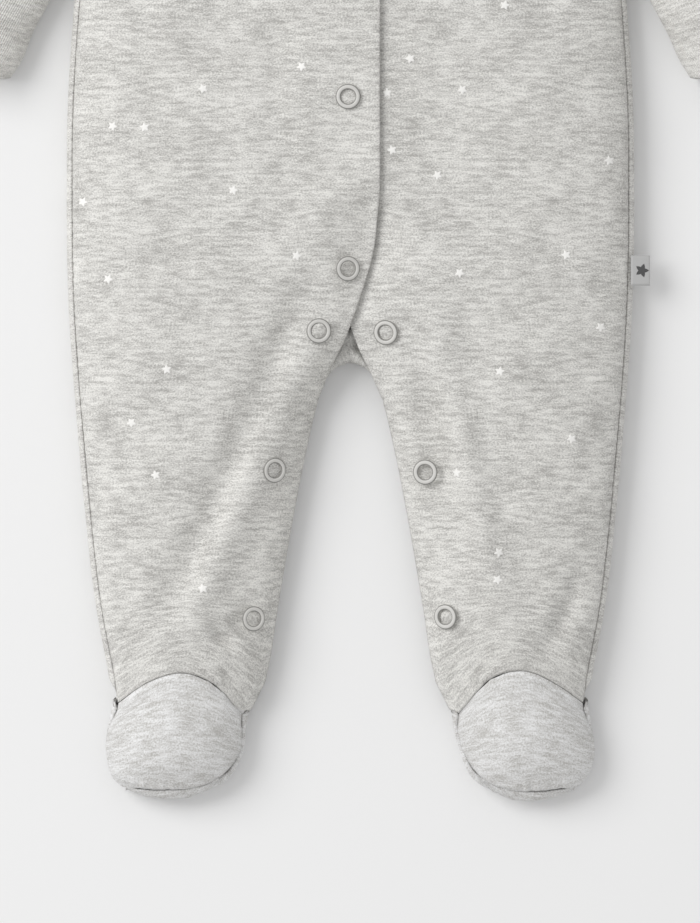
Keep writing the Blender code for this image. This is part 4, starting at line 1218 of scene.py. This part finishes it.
# A gain above 1 gives a lighter copy of the jersey: painted light, used for the feet.
def jersey_material(name, painted_light_gain):
    nodes = Nodes(name, 0.92, sheen=0.12, specular=0.2)
    place = nodes.cloth()
    light = heather(nodes, place)
    dark, bright = ([min(painted_light_gain * c, 0.9) for c in colour] for colour in (JERSEY_DARK, JERSEY_LIGHT))
    nodes.ramp(light, 0.385, 0.595, dark, bright)
    apart = nodes.tree.nodes.new("ShaderNodeSeparateXYZ")
    nodes.put(apart.inputs[0], place)
    wale = nodes.math("PINGPONG", nodes.math("DIVIDE", apart.outputs["X"], WALE / 2), 1.0)
    slant = nodes.math("MULTIPLY_ADD", wale, 0.5, nodes.math("DIVIDE", apart.outputs["Y"], COURSE))
    loops = nodes.math("SINE", nodes.math("MULTIPLY", slant, 2 * math.pi))
    grooves = nodes.math("SINE", nodes.math("MULTIPLY", wale, math.pi))
    stitch = nodes.math("MULTIPLY_ADD", loops, 0.25, nodes.math("MULTIPLY", grooves, 0.5))
    nodes.bump(nodes.math("MULTIPLY_ADD", light, 1.2, stitch), 0.14)
    return nodes.material


def rib_material():
    nodes = Nodes("heather_rib", 0.92, sheen=0.12, specular=0.2)
    place = nodes.cloth()
    light = heather(nodes, place)
    nodes.ramp(light, 0.38, 0.60, RIB_DARK, RIB_LIGHT)
    apart = nodes.tree.nodes.new("ShaderNodeSeparateXYZ")
    nodes.put(apart.inputs[0], place)
    ridge = nodes.math("SINE", nodes.math("MULTIPLY", apart.outputs["X"], 2 * math.pi / RIB))
    nodes.bump(nodes.math("MULTIPLY_ADD", ridge, 0.5, light), 0.25)
    return nodes.material


def plain_material(name, colour, roughness, grain):
    """An even material whose surface has a fine grain, of this size in millimetres."""
    nodes = Nodes(name, roughness, specular=0.4)
    place = nodes.tree.nodes.new("ShaderNodeTexCoord")
    scale = 1 / (grain * MM)
    light = nodes.noise(nodes.scaled(place.outputs["Object"], (scale, scale, scale)), 2.0)
    dark = tuple(c * 0.96 for c in colour)
    nodes.ramp(light, 0.3, 0.7, dark, colour)
    nodes.bump(light, grain * 0.06)
    return nodes.material


# The stage.


def aimed(thing, place, target):
    """Puts a camera or light at a place, turned towards a target, both in millimetres."""
    bpy.context.scene.collection.objects.link(thing)
    thing.location = Vector(place) * MM
    ahead = (Vector(target) - Vector(place)).normalized()
    thing.rotation_mode = "QUATERNION"
    thing.rotation_quaternion = ahead.to_track_quat("-Z", "Y")


def build_stage():
    shape = bmesh.new()
    bmesh.ops.create_grid(shape, x_segments=1, y_segments=1, size=FLOOR_HALF * MM)
    mesh = bpy.data.meshes.new("floor")
    shape.to_mesh(mesh)
    shape.free()
    floor = bpy.data.objects.new("floor", mesh)
    bpy.context.scene.collection.objects.link(floor)
    floor.location.z = -FLOOR_DROP * MM
    nodes = Nodes("floor_paper", 0.9, specular=0.1)
    nodes.shader.inputs["Base Color"].default_value = (*FLOOR_COLOUR, 1.0)
    mesh.materials.append(nodes.material)

    key = bpy.data.lights.new("key", "AREA")
    key.shape = "DISK"
    key.size = KEY_SIZE * MM
    key.energy = KEY_POWER
    aimed(bpy.data.objects.new("key", key), KEY_PLACE, VIEW_CENTRE)

    world = bpy.data.worlds.new("studio")
    world.use_nodes = True
    world.node_tree.nodes["Background"].inputs["Color"].default_value = (1.0, 1.0, 1.0, 1.0)
    world.node_tree.nodes["Background"].inputs["Strength"].default_value = FILL
    bpy.context.scene.world = world

    lens = bpy.data.cameras.new("camera")
    lens.lens = LENS
    lens.dof.use_dof = False
    lens.clip_start = 0.1
    lens.clip_end = 20.0
    camera = bpy.data.objects.new("camera", lens)
    x, y, z = VIEW_CENTRE
    aimed(camera, (x, y, z + CAMERA_HEIGHT), VIEW_CENTRE)
    camera.rotation_quaternion = (1.0, 0.0, 0.0, 0.0)
    bpy.context.scene.camera = camera
    bpy.context.scene.view_settings.view_transform = "Standard"
    bpy.context.scene.view_settings.look = "None"


def main():
    jersey, rib = jersey_material("heather_jersey", 1.0), rib_material()
    # The feet get a lighter copy of the jersey: painted light, for the brighter light that they catch.
    foot_jersey_painted_light = jersey_material("heather_jersey_feet_painted_light", FOOT_PAINTED_LIGHT_GAIN)
    build_fronts(jersey)
    build_back(jersey)
    build_feet(foot_jersey_painted_light)
    build_sleeves(jersey, rib)
    build_strip(jersey)
    build_neckband(rib)
    build_stars(plain_material("star_ink", STAR_COLOUR, 0.6, 0.3))
    enamel = plain_material("enamel", ENAMEL_COLOUR, 0.45, 0.8)
    build_snaps(enamel, plain_material("snap_edge_painted_shade", SNAP_EDGE_SHADE_COLOUR, 0.5, 0.4))
    tape = plain_material("label_tape", LABEL_COLOUR, 0.8, 0.4)
    build_label(tape, plain_material("label_ink", LABEL_INK_COLOUR, 0.8, 0.3))
    build_stage()


main()
